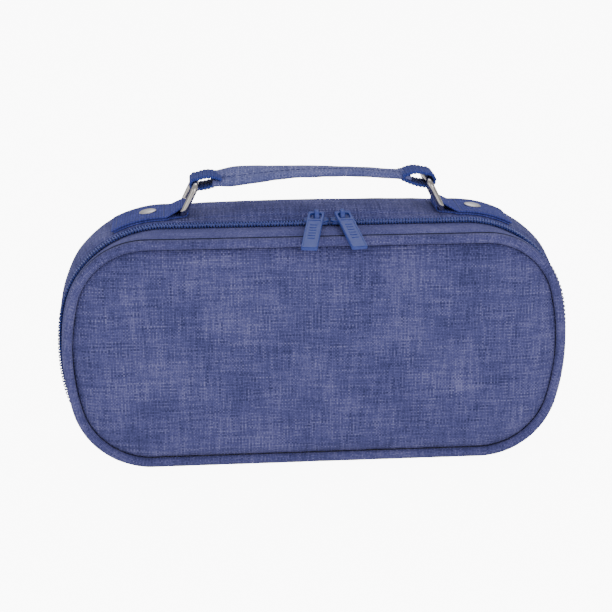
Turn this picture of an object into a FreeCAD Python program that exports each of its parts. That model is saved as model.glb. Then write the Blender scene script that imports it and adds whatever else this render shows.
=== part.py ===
import FreeCAD, Part
import math
import os
import Sketcher

from FreeCAD import Placement, Rotation, Vector

# Soft zipped pencil case with a carrying strap.
# Frame: +X along the length, the cover faces -Y, +Z up.  The origin is on the table under the case's middle.
# Units are millimetres and degrees.  "oval" is the outline seen from the front: a straight top and bottom
# run, four corner arcs and two flatter side arcs, all tangent.  "inset" is a distance inwards from an oval.

doc = FreeCAD.newDocument("pencil_case")
sheet = doc.addObject("Spreadsheet::Sheet", "sizes")

SIZES = [
    # belly oval: the outside of the gusset
    ("belly_half_width", 115.3), ("belly_half_height", 56.1), ("belly_centre_z", 56.1),
    ("belly_corner_radius", 48.0), ("belly_side_radius", 100.0),
    # front oval: the outside of the cover's piping
    ("front_half_width", 112.5), ("front_half_height", 53.0), ("front_centre_z", 55.9),
    ("front_corner_radius", 36.0), ("front_side_radius", 104.0),
    # fabric sandwich
    ("fabric_thickness", 0.8), ("foam_thickness", 3.0), ("lining_thickness", 0.4),
    ("layer_gap", 0.1), ("edge_fold", 1.6), ("gusset_foam", 1.7),
    # depths along Y
    ("panel_face_y", 29.0), ("piping_y", 27.6), ("gusset_back_y", 25.25), ("gusset_front_y", -8.5),
    ("seam_front_y", -25.05), ("belly_front_y", -17.0), ("foam_front_y", -2.0), ("lining_end_y", 24.5),
    ("lining_front_y", -7.0),
    ("piping_radius", 2.25), ("back_piping_inset", 1.2), ("panel_inset", 4.6),
    ("binding_width", 2.6), ("binding_length", 1.8), ("binding_gap", 0.8),
    # where the zip ends at the two sides
    ("zip_end_z", 16.0), ("zip_end_gap", 0.2), ("seam_inset", 0.4),
    # zip
    ("tape_inset", 1.7), ("tape_thickness", 0.5), ("tape_back_y", -2.2), ("tape_flat_y", -16.2),
    ("chain_y", -13.0),
    ("coil_gap", 1.0), ("coil_width", 2.4), ("coil_height", 1.6),
    ("end_tab_width", 11.0), ("end_tab_length", 9.0), ("end_tab_thickness", 0.9),
    # sliders and pulls
    ("slider_length", 11.0), ("slider_width", 8.0), ("slider_plate", 0.8), ("slider_top_gap", 0.2),
    ("slider_bottom_gap", 0.9), ("slider_post_length", 3.0), ("slider_post_width", 0.5),
    ("slider_rim", 0.8), ("slider_rim_drop", 0.9), ("slider_rim_end", 1.0), ("slider_meet_x", 6.5),
    ("slider_nose_gap", 0.4),
    ("arch_width", 2.4), ("arch_half_span", 3.7), ("arch_bar", 1.1), ("pull_axis_height", 2.6),
    ("arch_clear", 1.05),
    ("pull_length", 28.0), ("pull_width", 7.2), ("pull_thickness", 1.4), ("pull_eye_length", 4.2),
    ("pull_eye_width", 5.0), ("pull_bar_radius", 0.7), ("pull_hang_angle", 20.5), ("pull_yaw", 12.0),
    ("pull_rib_width", 3.4), ("pull_rib_height", 0.25), ("pull_rib_pitch", 2.0), ("pull_rib_count", 6.0),
    ("pull_rib_start", 4.0),
    # handle
    ("handle_y", 4.5), ("ring_foot_x", 58.0), ("ring_head_x", 52.0), ("ring_drop", 12.1),
    ("ring_wire_radius", 1.4), ("ring_inner_width", 20.0), ("ring_corner_radius", 2.6),
    ("tab_end_x", 89.0), ("tab_neck_x", 63.5), ("tab_width", 25.0), ("tab_neck_width", 17.2),
    ("tab_thickness", 1.9), ("tab_gap", 0.1), ("loop_clearance", 0.1), ("loop_wall", 1.3),
    ("open_loop_clearance", 0.8),
    ("rivet_x", 73.5), ("rivet_radius", 4.0), ("rivet_head", 0.9), ("rivet_post_radius", 1.4),
    ("rivet_washer", 0.8), ("rivet_fit", 0.05), ("rivet_washer_gap", 0.2),
    ("webbing_width", 15.0), ("webbing_thickness", 1.4), ("strap_rise", 3.6), ("sleeve_half_length", 43.0),
    ("sleeve_wall", 0.9), ("sleeve_gap", 0.05),
    # inside
    ("pen_band_z", 56.0), ("pen_band_width", 22.0), ("pen_band_thickness", 0.6), ("pen_loop_radius", 5.6),
    ("pen_loop_pitch", 15.0), ("pen_loop_count", 8.0), ("pen_band_end", 2.0), ("pen_band_gap", 0.2),
    ("pocket_top_z", 74.0), ("pocket_inset", 9.0), ("pocket_thickness", 0.8),
]
for row, (alias, value) in enumerate(SIZES, start=1):
    sheet.set("A%d" % row, alias)
    sheet.set("B%d" % row, "%g" % value)
    sheet.setAlias("B%d" % row, alias)
doc.recompute()


def size(expression):
    """The value of an expression in the sheet's aliases."""
    return float(sheet.evalExpression(expression))


def bind(obj, **expressions):
    """Tie properties to expressions, with aliases written as @alias."""
    for name, text in expressions.items():
        obj.setExpression(name, text.replace("@", "sizes."))


PARTS = []


def part(obj, label):
    """Name a finished sub-part, whose label is its file's name."""
    obj.Label = label
    PARTS.append(obj)
    return obj


# --------------------------------------------------------------------------------------- ovals and plates

def oval_edges(name, inset):
    """The eight edges of the named oval in the XZ plane at y = 0, moved inwards by inset."""
    half_width, half_height = size(name + "_half_width") - inset, size(name + "_half_height") - inset
    corner, side = size(name + "_corner_radius") - inset, size(name + "_side_radius") - inset
    centre_z = size(name + "_centre_z")
    side_x = half_width - side
    corner_z = half_height - corner
    corner_x = side_x + math.sqrt((side - corner) ** 2 - corner_z ** 2)
    tilt = math.atan2(corner_z, corner_x - side_x)

    def at(x, z):
        return Vector(x, 0, centre_z + z)

    def on(cx, cz, radius, angle, sx, sz):
        return at(sx * (cx + radius * math.cos(angle)), sz * (cz + radius * math.sin(angle)))

    def corner_arc(sx, sz):
        middle = (tilt + math.pi / 2) / 2
        return [on(corner_x, corner_z, corner, angle, sx, sz) for angle in (tilt, middle, math.pi / 2)]

    ends = {(sx, sz): corner_arc(sx, sz) for sx in (1, -1) for sz in (1, -1)}
    return [
        Part.LineSegment(ends[-1, 1][2], ends[1, 1][2]).toShape(),
        Part.Arc(ends[1, 1][2], ends[1, 1][1], ends[1, 1][0]).toShape(),
        Part.Arc(ends[1, 1][0], at(half_width, 0), ends[1, -1][0]).toShape(),
        Part.Arc(ends[1, -1][0], ends[1, -1][1], ends[1, -1][2]).toShape(),
        Part.LineSegment(ends[1, -1][2], ends[-1, -1][2]).toShape(),
        Part.Arc(ends[-1, -1][2], ends[-1, -1][1], ends[-1, -1][0]).toShape(),
        Part.Arc(ends[-1, -1][0], at(-half_width, 0), ends[-1, 1][0]).toShape(),
        Part.Arc(ends[-1, 1][0], ends[-1, 1][1], ends[-1, 1][2]).toShape(),
    ]


def oval_wire(name, inset, y=0.0):
    wire = Part.Wire(oval_edges(name, inset))
    wire.translate(Vector(0, y, 0))
    return wire


def outline(label, name, inset, y):
    """A wire object that an extrusion or a sweep builds on."""
    wire = doc.addObject("Part::Feature", label)
    wire.Shape = oval_wire(name, size(inset))
    wire.Placement = Placement(Vector(0, size(y), 0), Rotation())
    return wire


def oval_plate(label, name, inset, front_y, back_y):
    """A flat plate of an oval outline between two depths."""
    plate = doc.addObject("Part::Extrusion", label)
    plate.Base = outline(label + "_outline", name, inset, front_y)
    plate.DirMode = "Custom"
    plate.Dir = Vector(0, 1, 0)
    plate.Solid = True
    bind(plate, LengthFwd=alias_text("(%s) - (%s)" % (back_y, front_y)))
    return plate


def alias_text(expression):
    """Put the sheet's name before each alias of an expression."""
    words = sorted((alias for alias, value in SIZES), key=len, reverse=True)
    for index, word in enumerate(words):
        expression = expression.replace(word, "{%d}" % index)
    return expression.format(*["sizes." + word for word in words])


def boolean(kind, label, base, tool):
    result = doc.addObject("Part::" + kind, label)
    result.Base = base
    result.Tool = tool
    return result


def oval_band(label, name, inset, thickness, front_y, back_y):
    """A hollow band of an oval outline: the plate less a smaller plate."""
    outer = oval_plate(label + "_outer", name, inset, front_y, back_y)
    inner = oval_plate(label + "_inner", name, "%s + %s" % (inset, thickness), front_y, back_y)
    return boolean("Cut", label + "_band", outer, inner)


def slab(label, low_z, high_z):
    """A block as wide and deep as the case between two heights."""
    block = doc.addObject("Part::Box", label)
    bind(block, Length="4 * @belly_half_width", Width="6 * @panel_face_y",
         Height=alias_text("(%s) - (%s)" % (high_z, low_z)))
    block.setExpression("Placement.Base.x", "-2 * sizes.belly_half_width")
    block.setExpression("Placement.Base.y", "-3 * sizes.panel_face_y")
    block.setExpression("Placement.Base.z", alias_text(low_z))
    return block


def above_zip_end(label, shape, gap="0"):
    keep = slab(label + "_keep", "zip_end_z + %s" % gap, "3 * belly_half_height")
    return boolean("Common", label, shape, keep)


def below_zip_end(label, shape):
    return boolean("Common", label, shape, slab(label + "_keep", "-belly_half_height", "zip_end_z"))


def feature(label, shape, position=None):
    """A sub-part whose shape comes from the Part functions."""
    obj = doc.addObject("Part::Feature", label)
    obj.Shape = shape
    if position is not None:
        obj.Placement = position
    return obj


def oval_loft(name_a, inset_a, y_a, name_b, inset_b, y_b):
    return Part.makeLoft([oval_wire(name_a, inset_a, y_a), oval_wire(name_b, inset_b, y_b)], True, True)


def cover_tape_band():
    """The cover's zip tape, uncut: it leans out from the piping seam and lies flat under the coil."""
    front_y, flat_y, back_y = size("seam_front_y"), size("tape_flat_y"), size("chain_y - coil_gap / 2")
    front, back, wall = size("seam_inset"), size("tape_inset"), size("tape_thickness")
    leaning = oval_loft("front", front, front_y, "belly", back, flat_y).cut(
        oval_loft("front", front + wall, front_y, "belly", back + wall, flat_y))
    along = Vector(0, back_y - flat_y, 0)
    flat = Part.Face(oval_wire("belly", back, flat_y)).extrude(along).cut(
        Part.Face(oval_wire("belly", back + wall, flat_y)).extrude(along))
    return leaning.fuse(flat).removeSplitter()


def piping(label, name, inset, y):
    """A round cord covered in fabric, swept along an oval."""
    path = outline(label + "_path", name, inset + " + piping_radius", y)
    ring = doc.addObject("Part::Circle", label + "_section")
    bind(ring, Radius="@piping_radius")
    start = path.Shape.Edges[0].Vertexes[0].Point
    ring.Placement = Placement(start, Rotation(Vector(0, 0, 1), Vector(1, 0, 0)))
    sweep = doc.addObject("Part::Sweep", label)
    sweep.Sections = [ring]
    sweep.Spine = (path, ["Edge%d" % (index + 1) for index in range(len(path.Shape.Edges))])
    sweep.Solid = True
    sweep.Frenet = False
    return sweep


# ------------------------------------------------------------------------------------------- case panels

def case_back():
    """Outer fabric, foam and lining of the back panel, and its piping."""
    inset = "back_piping_inset + panel_inset"
    fabric_back = "panel_face_y - fabric_thickness"
    foam_back = fabric_back + " - layer_gap"
    lining_back = foam_back + " - foam_thickness - layer_gap"
    part(oval_plate("back_panel", "belly", inset, fabric_back, "panel_face_y"), "back_panel")
    part(oval_plate("back_foam", "belly", inset, foam_back + " - foam_thickness", foam_back), "back_foam")
    part(oval_plate("back_lining", "belly", inset, lining_back + " - lining_thickness", lining_back),
         "back_lining")
    part(piping("back_piping", "belly", "back_piping_inset", "piping_y"), "back_piping")


def cover_front():
    """Outer fabric, foam and lining of the cover, its piping and the binding inside the seam."""
    fabric_back = "-panel_face_y + fabric_thickness"
    foam_front = fabric_back + " + layer_gap"
    lining_front = foam_front + " + foam_thickness + layer_gap"
    part(oval_plate("cover_panel", "front", "panel_inset", "-panel_face_y", fabric_back), "cover_panel")
    part(oval_plate("cover_foam", "front", "panel_inset", foam_front, foam_front + " + foam_thickness"),
         "cover_foam")
    lining_back = lining_front + " + lining_thickness"
    part(oval_plate("cover_lining", "front", "panel_inset", lining_front, lining_back),
         "cover_lining")
    part(piping("cover_piping", "front", "0", "-piping_y"), "cover_piping")
    band = oval_band("cover_binding", "front", "seam_inset + tape_thickness + binding_gap",
                     "binding_width", "seam_front_y", "seam_front_y + binding_length")
    part(above_zip_end("cover_binding", band, "zip_end_gap"), "cover_binding")


def gussets():
    """The deep band: top part down to the zip ends, bottom part under them, each with foam and lining."""
    band = oval_band("top_gusset", "belly", "0", "edge_fold", "gusset_front_y", "gusset_back_y")
    part(above_zip_end("top_gusset", band), "top_gusset")

    straight = oval_band("bottom_gusset", "belly", "0", "edge_fold", "belly_front_y", "gusset_back_y")
    sloping = feature("bottom_gusset_front", bottom_front_band())
    joined = boolean("Fuse", "bottom_gusset_joined", straight, sloping)
    part(below_zip_end("bottom_gusset", joined), "bottom_gusset")

    inset = "edge_fold + layer_gap"
    for label, keep, front_y in (("top_gusset_foam", above_zip_end, "foam_front_y"),
                                 ("bottom_gusset_foam", below_zip_end, "belly_front_y")):
        band = oval_band(label, "belly", inset, "gusset_foam", front_y, "gusset_back_y")
        part(keep(label, band), label)
    inset += " + gusset_foam + layer_gap"
    for label, keep, front_y in (("top_gusset_lining", above_zip_end, "lining_front_y"),
                                 ("bottom_gusset_lining", below_zip_end, "belly_front_y")):
        band = oval_band(label, "belly", inset, "lining_thickness", front_y, "lining_end_y")
        part(keep(label, band), label)


def bottom_front_band():
    """The bottom gusset's front edge, from the belly down to the cover's piping."""
    front_y, back_y = size("seam_front_y"), size("belly_front_y")
    front, wall = size("seam_inset"), size("edge_fold")
    outer = oval_loft("front", front, front_y, "belly", 0.0, back_y)
    inner = oval_loft("front", front + wall, front_y, "belly", wall, back_y)
    return outer.cut(inner)


# --------------------------------------------------------------------------------------------------- zip

def zip_coil(label, front_y, back_y):
    """The row of coil turns sewn on a tape's edge, as a smooth bar of their width and height."""
    inset = "tape_inset - layer_gap / 2 - coil_height"
    coil = oval_band(label, "belly", inset, "coil_height", front_y, back_y)
    part(above_zip_end(label, coil, "zip_end_gap"), label)


def zip_chain():
    """Both tapes and both coils, round the top and down to the zip ends."""
    gap, near, far = "zip_end_gap", "coil_gap / 2", "coil_gap / 2 + coil_width"
    part(above_zip_end("zip_tape_cover", feature("zip_tape_cover_band", cover_tape_band()), gap),
         "zip_tape_cover")
    tape = oval_band("zip_tape_case", "belly", "tape_inset", "tape_thickness",
                     "chain_y + " + near, "tape_back_y")
    part(above_zip_end("zip_tape_case", tape, gap), "zip_tape_case")
    zip_coil("zip_coil_cover", "chain_y - (%s)" % far, "chain_y - " + near)
    zip_coil("zip_coil_case", "chain_y + " + near, "chain_y + (%s)" % far)


def zip_end_tabs():
    """A folded fabric tab over each end of the zip, on the bottom gusset's side."""
    band = oval_band("zip_end_tab", "belly", "-end_tab_thickness - layer_gap / 2", "end_tab_thickness",
                     "chain_y - end_tab_width / 2", "chain_y + end_tab_width / 2")
    low = slab("zip_end_tab_keep", "zip_end_z - end_tab_length", "zip_end_z")
    both = boolean("Common", "zip_end_tab_pair", band, low)
    for label, start in (("zip_end_tab_left", "-2 * sizes.belly_half_width"), ("zip_end_tab_right", "0")):
        half = doc.addObject("Part::Box", label + "_half")
        span = "2 * @belly_half_width"
        bind(half, Length=span, Width=span, Height=span)
        half.setExpression("Placement.Base.x", start)
        half.setExpression("Placement.Base.y", "-sizes.belly_half_width")
        part(boolean("Common", label, both, half), label)


# --------------------------------------------------------------------------------------- sliders and pulls

def origin_plane(body, role):
    return next(item for item in body.Origin.OriginFeatures if item.Role == role)


def new_body(name):
    return doc.addObject("PartDesign::Body", name)


def plane_sketch(body, name, role, offset="0"):
    sketch = body.newObject("Sketcher::SketchObject", name)
    sketch.AttachmentSupport = [(origin_plane(body, role), "")]
    sketch.MapMode = "FlatFace"
    sketch.setExpression("AttachmentOffset.Base.z", alias_text(offset))
    return sketch


def sketch_rectangle(sketch, width, height, centre_x="0", centre_y="0"):
    """A rectangle whose sides and centre are tied to the sheet."""
    w, h, cx, cy = size(width), size(height), size(centre_x), size(centre_y)
    corners = [Vector(cx - w / 2, cy - h / 2, 0), Vector(cx + w / 2, cy - h / 2, 0),
               Vector(cx + w / 2, cy + h / 2, 0), Vector(cx - w / 2, cy + h / 2, 0)]
    first = sketch.GeometryCount
    for index in range(4):
        sketch.addGeometry(Part.LineSegment(corners[index], corners[(index + 1) % 4]))
    for index in range(4):
        sketch.addConstraint(Sketcher.Constraint("Coincident", first + index, 2, first + (index + 1) % 4, 1))
    sketch.addConstraint(Sketcher.Constraint("Horizontal", first))
    sketch.addConstraint(Sketcher.Constraint("Horizontal", first + 2))
    sketch.addConstraint(Sketcher.Constraint("Vertical", first + 1))
    sketch.addConstraint(Sketcher.Constraint("Vertical", first + 3))
    for kind, edge, value, text in (("DistanceX", first, w, width), ("DistanceY", first + 1, h, height)):
        index = sketch.addConstraint(Sketcher.Constraint(kind, edge, 1, edge, 2, value))
        sketch.setExpression("Constraints[%d]" % index, alias_text(text))
    for kind, value, text in (("DistanceX", cx - w / 2, "(%s) - (%s) / 2" % (centre_x, width)),
                              ("DistanceY", cy - h / 2, "(%s) - (%s) / 2" % (centre_y, height))):
        index = sketch.addConstraint(Sketcher.Constraint(kind, -1, 1, first, 1, value))
        sketch.setExpression("Constraints[%d]" % index, alias_text(text))


def pad(body, sketch, length, name, symmetric=False):
    feature_pad = body.newObject("PartDesign::Pad", name)
    feature_pad.Profile = sketch
    feature_pad.setExpression("Length", alias_text(length))
    if symmetric:
        feature_pad.SideType = "Symmetric"
    return feature_pad


def chain_top():
    """Height of the coils' outer face above the table."""
    return "(2 * belly_centre_z - tape_inset + coil_height + layer_gap / 2)"


def tape_bottom():
    return "(2 * belly_centre_z - tape_inset - tape_thickness)"


def pull_axis_z():
    return "(%s + slider_top_gap + slider_plate + pull_axis_height)" % chain_top()


def slider(label, centre_x):
    """Upper and lower plate joined by a post between the coils, a rim on the cover side and a low arch."""
    body = new_body(label)
    top_z = "%s + slider_top_gap" % chain_top()
    low_z = "%s - slider_bottom_gap" % tape_bottom()

    lower = plane_sketch(body, label + "_lower_sketch", "XY_Plane", low_z + " - slider_plate")
    sketch_rectangle(lower, "slider_length", "slider_width", centre_x, "chain_y")
    pad(body, lower, "slider_plate", label + "_lower")

    post = plane_sketch(body, label + "_post_sketch", "XY_Plane", low_z)
    sketch_rectangle(post, "slider_post_length", "slider_post_width", centre_x, "chain_y")
    pad(body, post, "(%s) - (%s)" % (top_z, low_z), label + "_post")

    upper = plane_sketch(body, label + "_upper_sketch", "XY_Plane", top_z)
    sketch_rectangle(upper, "slider_length", "slider_width", centre_x, "chain_y")
    pad(body, upper, "slider_plate", label + "_upper")

    rim = plane_sketch(body, label + "_rim_sketch", "XY_Plane", top_z + " - slider_rim_drop")
    sketch_rectangle(rim, "slider_length - 2 * slider_rim_end", "slider_rim", centre_x,
                     "chain_y - slider_width / 2 + slider_rim / 2")
    pad(body, rim, "slider_rim_drop", label + "_rim")

    plate_top = "(%s + slider_plate)" % top_z
    arch_height = "(pull_axis_height + arch_clear + arch_bar)"
    for side, sign in (("front", "-"), ("back", "+")):
        leg = plane_sketch(body, label + "_%s_leg_sketch" % side, "XY_Plane", plate_top)
        sketch_rectangle(leg, "arch_width", "arch_bar", centre_x,
                         "chain_y %s (arch_half_span - arch_bar / 2)" % sign)
        pad(body, leg, arch_height, label + "_%s_leg" % side)
    crown = plane_sketch(body, label + "_crown_sketch", "XY_Plane",
                         plate_top + " + %s - arch_bar" % arch_height)
    sketch_rectangle(crown, "arch_width", "2 * arch_half_span", centre_x, "chain_y")
    pad(body, crown, "arch_bar", label + "_crown")
    part(body, label)


def pull(label, centre_x, yaw):
    """A flat pull with an eye: built lying forwards along -Y from its axis, then hung and turned."""
    body = new_body(label)
    bar = plane_sketch(body, label + "_bar_sketch", "YZ_Plane")
    bar.addGeometry(Part.Circle(Vector(0, 0, 0), Vector(0, 0, 1), size("pull_bar_radius")))
    bar.addConstraint(Sketcher.Constraint("Coincident", 0, 3, -1, 1))
    index = bar.addConstraint(Sketcher.Constraint("Radius", 0, size("pull_bar_radius")))
    bar.setExpression("Constraints[%d]" % index, "sizes.pull_bar_radius")
    pad(body, bar, "pull_width", label + "_bar", symmetric=True)

    half = "pull_thickness / 2"
    reach = "(pull_length - pull_bar_radius)"
    plate = plane_sketch(body, label + "_plate_sketch", "XY_Plane", "-" + half)
    sketch_rectangle(plate, "pull_width", reach, "0", "-%s / 2" % reach)
    pad(body, plate, "pull_thickness", label + "_plate")
    doc.recompute()

    eye = plane_sketch(body, label + "_eye_sketch", "XY_Plane", "-pull_thickness")
    sketch_rectangle(eye, "pull_eye_width", "pull_eye_length", "0", "-pull_bar_radius - pull_eye_length / 2")
    hole = body.newObject("PartDesign::Pocket", label + "_eye")
    hole.Profile = eye
    hole.Reversed = True
    hole.setExpression("Length", "2 * sizes.pull_thickness")
    doc.recompute()

    rib = plane_sketch(body, label + "_rib_sketch", "XY_Plane", half)
    first = "(pull_bar_radius + pull_eye_length + pull_rib_start)"
    sketch_rectangle(rib, "pull_rib_width", "pull_rib_pitch / 2", "0", "-%s" % first)
    pad(body, rib, "pull_rib_height", label + "_rib")
    row = body.newObject("PartDesign::LinearPattern", label + "_ribs")
    row.Originals = [doc.getObject(label + "_rib")]
    row.Direction = (rib, ["V_Axis"])
    row.Reversed = True
    row.setExpression("Length", "sizes.pull_rib_pitch * (sizes.pull_rib_count - 1)")
    row.Occurrences = int(size("pull_rib_count"))
    body.Tip = row
    hang = Rotation(Vector(1, 0, 0), size("pull_hang_angle"))
    turn = Rotation(Vector(0, 0, 1), yaw * size("pull_yaw"))
    axis = Vector(size(centre_x), size("chain_y"), size(pull_axis_z()))
    body.Placement = Placement(axis, turn.multiply(hang))
    part(body, label)


# ------------------------------------------------------------------------------------------------ handle

def ring_foot_z():
    """Height of the ring's lower bar, which lies in the tab's loop on top of the gusset."""
    return "(2 * belly_centre_z + tab_gap + loop_wall + loop_clearance + ring_wire_radius)"


def handle_ring(label, side):
    """A rectangle of round wire with rounded corners, leaning towards the middle."""
    foot_z = size(ring_foot_z())
    foot, head = side * size("ring_foot_x"), side * size("ring_head_x")
    wire, corner = size("ring_wire_radius"), size("ring_corner_radius")
    height = math.hypot(size("ring_foot_x") - size("ring_head_x"), size("ring_drop"))
    half_y = size("ring_inner_width") / 2 + wire
    path = Part.Wire(rounded_rectangle(2 * half_y, height, corner))
    section = Part.Wire(Part.Circle(Vector(0, 0, 0), Vector(0, 1, 0), wire).toShape())
    solid = path.makePipeShell([section], True, False)
    lean = math.degrees(math.atan2(head - foot, size("ring_drop")))
    position = Placement(Vector(foot, size("handle_y"), foot_z), Rotation(Vector(0, 1, 0), lean))
    part(feature(label, solid, position), label)


def rounded_rectangle(width, height, radius):
    """Edges in the YZ plane, from the middle of the lower side at the origin."""
    y, z, r = width / 2, height, radius
    diagonal = r * (1 - math.sqrt(0.5))
    points = [Vector(0, 0, 0), Vector(0, y - r, 0), Vector(0, y, r), Vector(0, y, z - r), Vector(0, y - r, z),
              Vector(0, r - y, z), Vector(0, -y, z - r), Vector(0, -y, r), Vector(0, r - y, 0)]
    middles = {1: Vector(0, y - diagonal, diagonal), 3: Vector(0, y - diagonal, z - diagonal),
               5: Vector(0, diagonal - y, z - diagonal), 7: Vector(0, diagonal - y, diagonal)}
    edges = []
    for index, start in enumerate(points):
        end = points[(index + 1) % len(points)]
        if index in middles:
            edges.append(Part.Arc(start, middles[index], end).toShape())
        else:
            edges.append(Part.LineSegment(start, end).toShape())
    return edges


def block(low, high):
    return Part.makeBox(high.x - low.x, high.y - low.y, high.z - low.z, low)


def handle_tab(label, side):
    """Folded webbing on the gusset, narrowed to a loop round the ring's lower bar."""
    gap, thickness = size("tab_gap"), size("tab_thickness")
    mid_y, width, neck = size("handle_y"), size("tab_width"), size("tab_neck_width")
    foot, foot_z = size("ring_foot_x"), size(ring_foot_z())
    inner_radius = size("ring_wire_radius + loop_clearance")
    outer_radius = inner_radius + size("loop_wall")

    def stretch(start_x, end_x, span):
        """A strip of this width on the belly between two x values."""
        low_y = mid_y - span / 2
        outer = Part.Face(oval_wire("belly", -gap - thickness, low_y)).extrude(Vector(0, span, 0))
        inner = Part.Face(oval_wire("belly", -gap, low_y)).extrude(Vector(0, span, 0))
        low = Vector(start_x, low_y, size("belly_centre_z"))
        high = Vector(end_x, low_y + span, low.z + size("belly_half_height") + 5)
        return outer.cut(inner).common(block(low, high))

    plate = stretch(size("tab_neck_x"), size("tab_end_x"), width)
    throat = stretch(foot, size("tab_neck_x") + 0.5, neck)
    centre = Vector(foot, mid_y - neck / 2, foot_z)
    loop = Part.makeCylinder(outer_radius, neck, centre, Vector(0, 1, 0))
    bore = Part.makeCylinder(inner_radius, neck + 2, centre - Vector(0, 1, 0), Vector(0, 1, 0))
    solid = plate.fuse([throat, loop]).cut(bore).removeSplitter()
    if side < 0:
        solid = solid.mirror(Vector(0, 0, 0), Vector(1, 0, 0))
    part(feature(label, solid), label)


def rivet_axis(side):
    """Centre of the belly's upper corner arc at the rivet's depth, and the way out through the rivet."""
    corner = size("belly_corner_radius")
    corner_z = size("belly_half_height") - corner
    side_less_corner = size("belly_side_radius") - corner
    centre_x = size("belly_half_width - belly_side_radius") + math.sqrt(side_less_corner ** 2 - corner_z ** 2)
    angle = side * math.asin((size("rivet_x") - centre_x) / corner)
    hub = Vector(side * centre_x, size("handle_y"), size("belly_centre_z") + corner_z)
    return hub, Vector(math.sin(angle), 0, math.cos(angle))


def rivets():
    """Two rivets: domed head on the tab, post through the webbing and gusset, washer inside."""
    radius, cap, washer_height = size("rivet_radius"), size("rivet_head"), size("rivet_washer")
    fit = size("rivet_fit")
    surface = size("belly_corner_radius + tab_gap + tab_thickness") + fit
    inside = size("belly_corner_radius - edge_fold - gusset_foam - lining_thickness - 3 * layer_gap"
                  " - rivet_washer_gap")
    solids = []
    for side in (1, -1):
        hub, axis = rivet_axis(side)
        head = Part.makeCylinder(radius, cap, hub + axis * surface, axis)
        rim = [edge for edge in head.Edges if edge.BoundBox.ZMin > head.BoundBox.ZMin + cap / 2]
        head = head.makeFillet(0.6 * cap, rim)
        post = Part.makeCylinder(size("rivet_post_radius"), surface - inside, hub + axis * inside, axis)
        washer = Part.makeCylinder(radius, washer_height, hub + axis * (inside - washer_height), axis)
        solids.append(head.fuse([post, washer]).removeSplitter())
    part(feature("tab_rivets", Part.makeCompound(solids)), "tab_rivets")


def pierce(labels):
    """Cut the rivet posts' holes in the layers that they pass through."""
    drills = []
    for side, side_label in ((1, "right"), (-1, "left")):
        hub, axis = rivet_axis(side)
        drill = doc.addObject("Part::Cylinder", "rivet_hole_" + side_label)
        bind(drill, Radius="@rivet_post_radius + @rivet_fit", Height="@belly_corner_radius")
        start = hub + axis * (size("belly_corner_radius") / 2)
        drill.Placement = Placement(start, Rotation(Vector(0, 0, 1), axis))
        drills.append(drill)
    both = doc.addObject("Part::MultiFuse", "rivet_holes")
    both.Shapes = drills
    for obj in [item for item in PARTS if item.Label in labels]:
        label = obj.Label
        obj.Label = label + "_before_holes"
        PARTS.remove(obj)
        part(boolean("Cut", label + "_holed", obj, both), label)


def strap_arc():
    """Radius and centre height of the strap's centre line, an arc through both ring heads."""
    head_x, rise = size("ring_head_x"), size("strap_rise")
    radius = (head_x ** 2 + rise ** 2) / (2 * rise)
    return radius, size(ring_foot_z()) + size("ring_drop") + rise - radius


def arc_band(half_length, thickness, width):
    """Part of a wide ring about the strap's arc centre, centred on the strap's middle."""
    radius, centre_z = strap_arc()
    low_y = size("handle_y") - width / 2
    centre = Vector(0, low_y, centre_z)
    outer = Part.makeCylinder(radius + thickness / 2, width, centre, Vector(0, 1, 0))
    inner = Part.makeCylinder(radius - thickness / 2, width, centre, Vector(0, 1, 0))
    keep = block(Vector(-half_length, low_y - 1, centre_z + radius / 2),
                 Vector(half_length, low_y + width + 1, centre_z + radius + thickness))
    return outer.cut(inner).common(keep)


def handle():
    """Webbing with a loop at each end, and the fabric sleeve sewn round it between the loops."""
    thickness, width = size("webbing_thickness"), size("webbing_width")
    head_x, head_z = size("ring_head_x"), size(ring_foot_z()) + size("ring_drop")
    wire = size("ring_wire_radius")
    mid_y = size("handle_y")
    core_width = width - 2 * size("sleeve_wall + sleeve_gap")
    solid = arc_band(head_x - wire, thickness, core_width)
    bores = []
    for side, clearance in ((-1, size("loop_clearance")), (1, size("open_loop_clearance"))):
        centre = Vector(side * head_x, mid_y - width / 2, head_z)
        loop = Part.makeCylinder(wire + clearance + thickness, width, centre, Vector(0, 1, 0))
        low_end = centre - Vector(0, 1, 0)
        bores.append(Part.makeCylinder(wire + clearance, width + 2, low_end, Vector(0, 1, 0)))
        solid = solid.fuse(loop)
    for bore in bores:
        solid = solid.cut(bore)
    part(feature("handle_webbing", solid.removeSplitter()), "handle_webbing")

    wall, gap = size("sleeve_wall"), size("sleeve_gap")
    half = size("sleeve_half_length")
    sleeve = arc_band(half, thickness + 2 * (wall + gap), width)
    hollow = arc_band(half + 1, thickness + 2 * gap, core_width + 2 * gap)
    part(feature("handle_sleeve", sleeve.cut(hollow)), "handle_sleeve")


# ------------------------------------------------------------------------------------------------ inside

def pen_band():
    """An elastic band on the back lining, sewn down between open loops for pens."""
    count, pitch = int(size("pen_loop_count")), size("pen_loop_pitch")
    radius, thin, width = size("pen_loop_radius"), size("pen_band_thickness"), size("pen_band_width")
    wall_y = size("lining_end_y - pen_band_gap")
    low_z = size("pen_band_z") - width / 2
    start = -pitch * (count - 1) / 2
    end_x = -start + pitch / 2 + size("pen_band_end")
    strip = block(Vector(-end_x, wall_y - thin, low_z), Vector(end_x, wall_y, low_z + width))
    for index in range(count):
        centre = Vector(start + index * pitch, wall_y - radius, low_z)
        ring = Part.makeCylinder(radius, width, centre).cut(Part.makeCylinder(radius - thin, width, centre))
        strip = strip.fuse(ring)
    part(feature("pen_band", strip.removeSplitter()), "pen_band")


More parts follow.
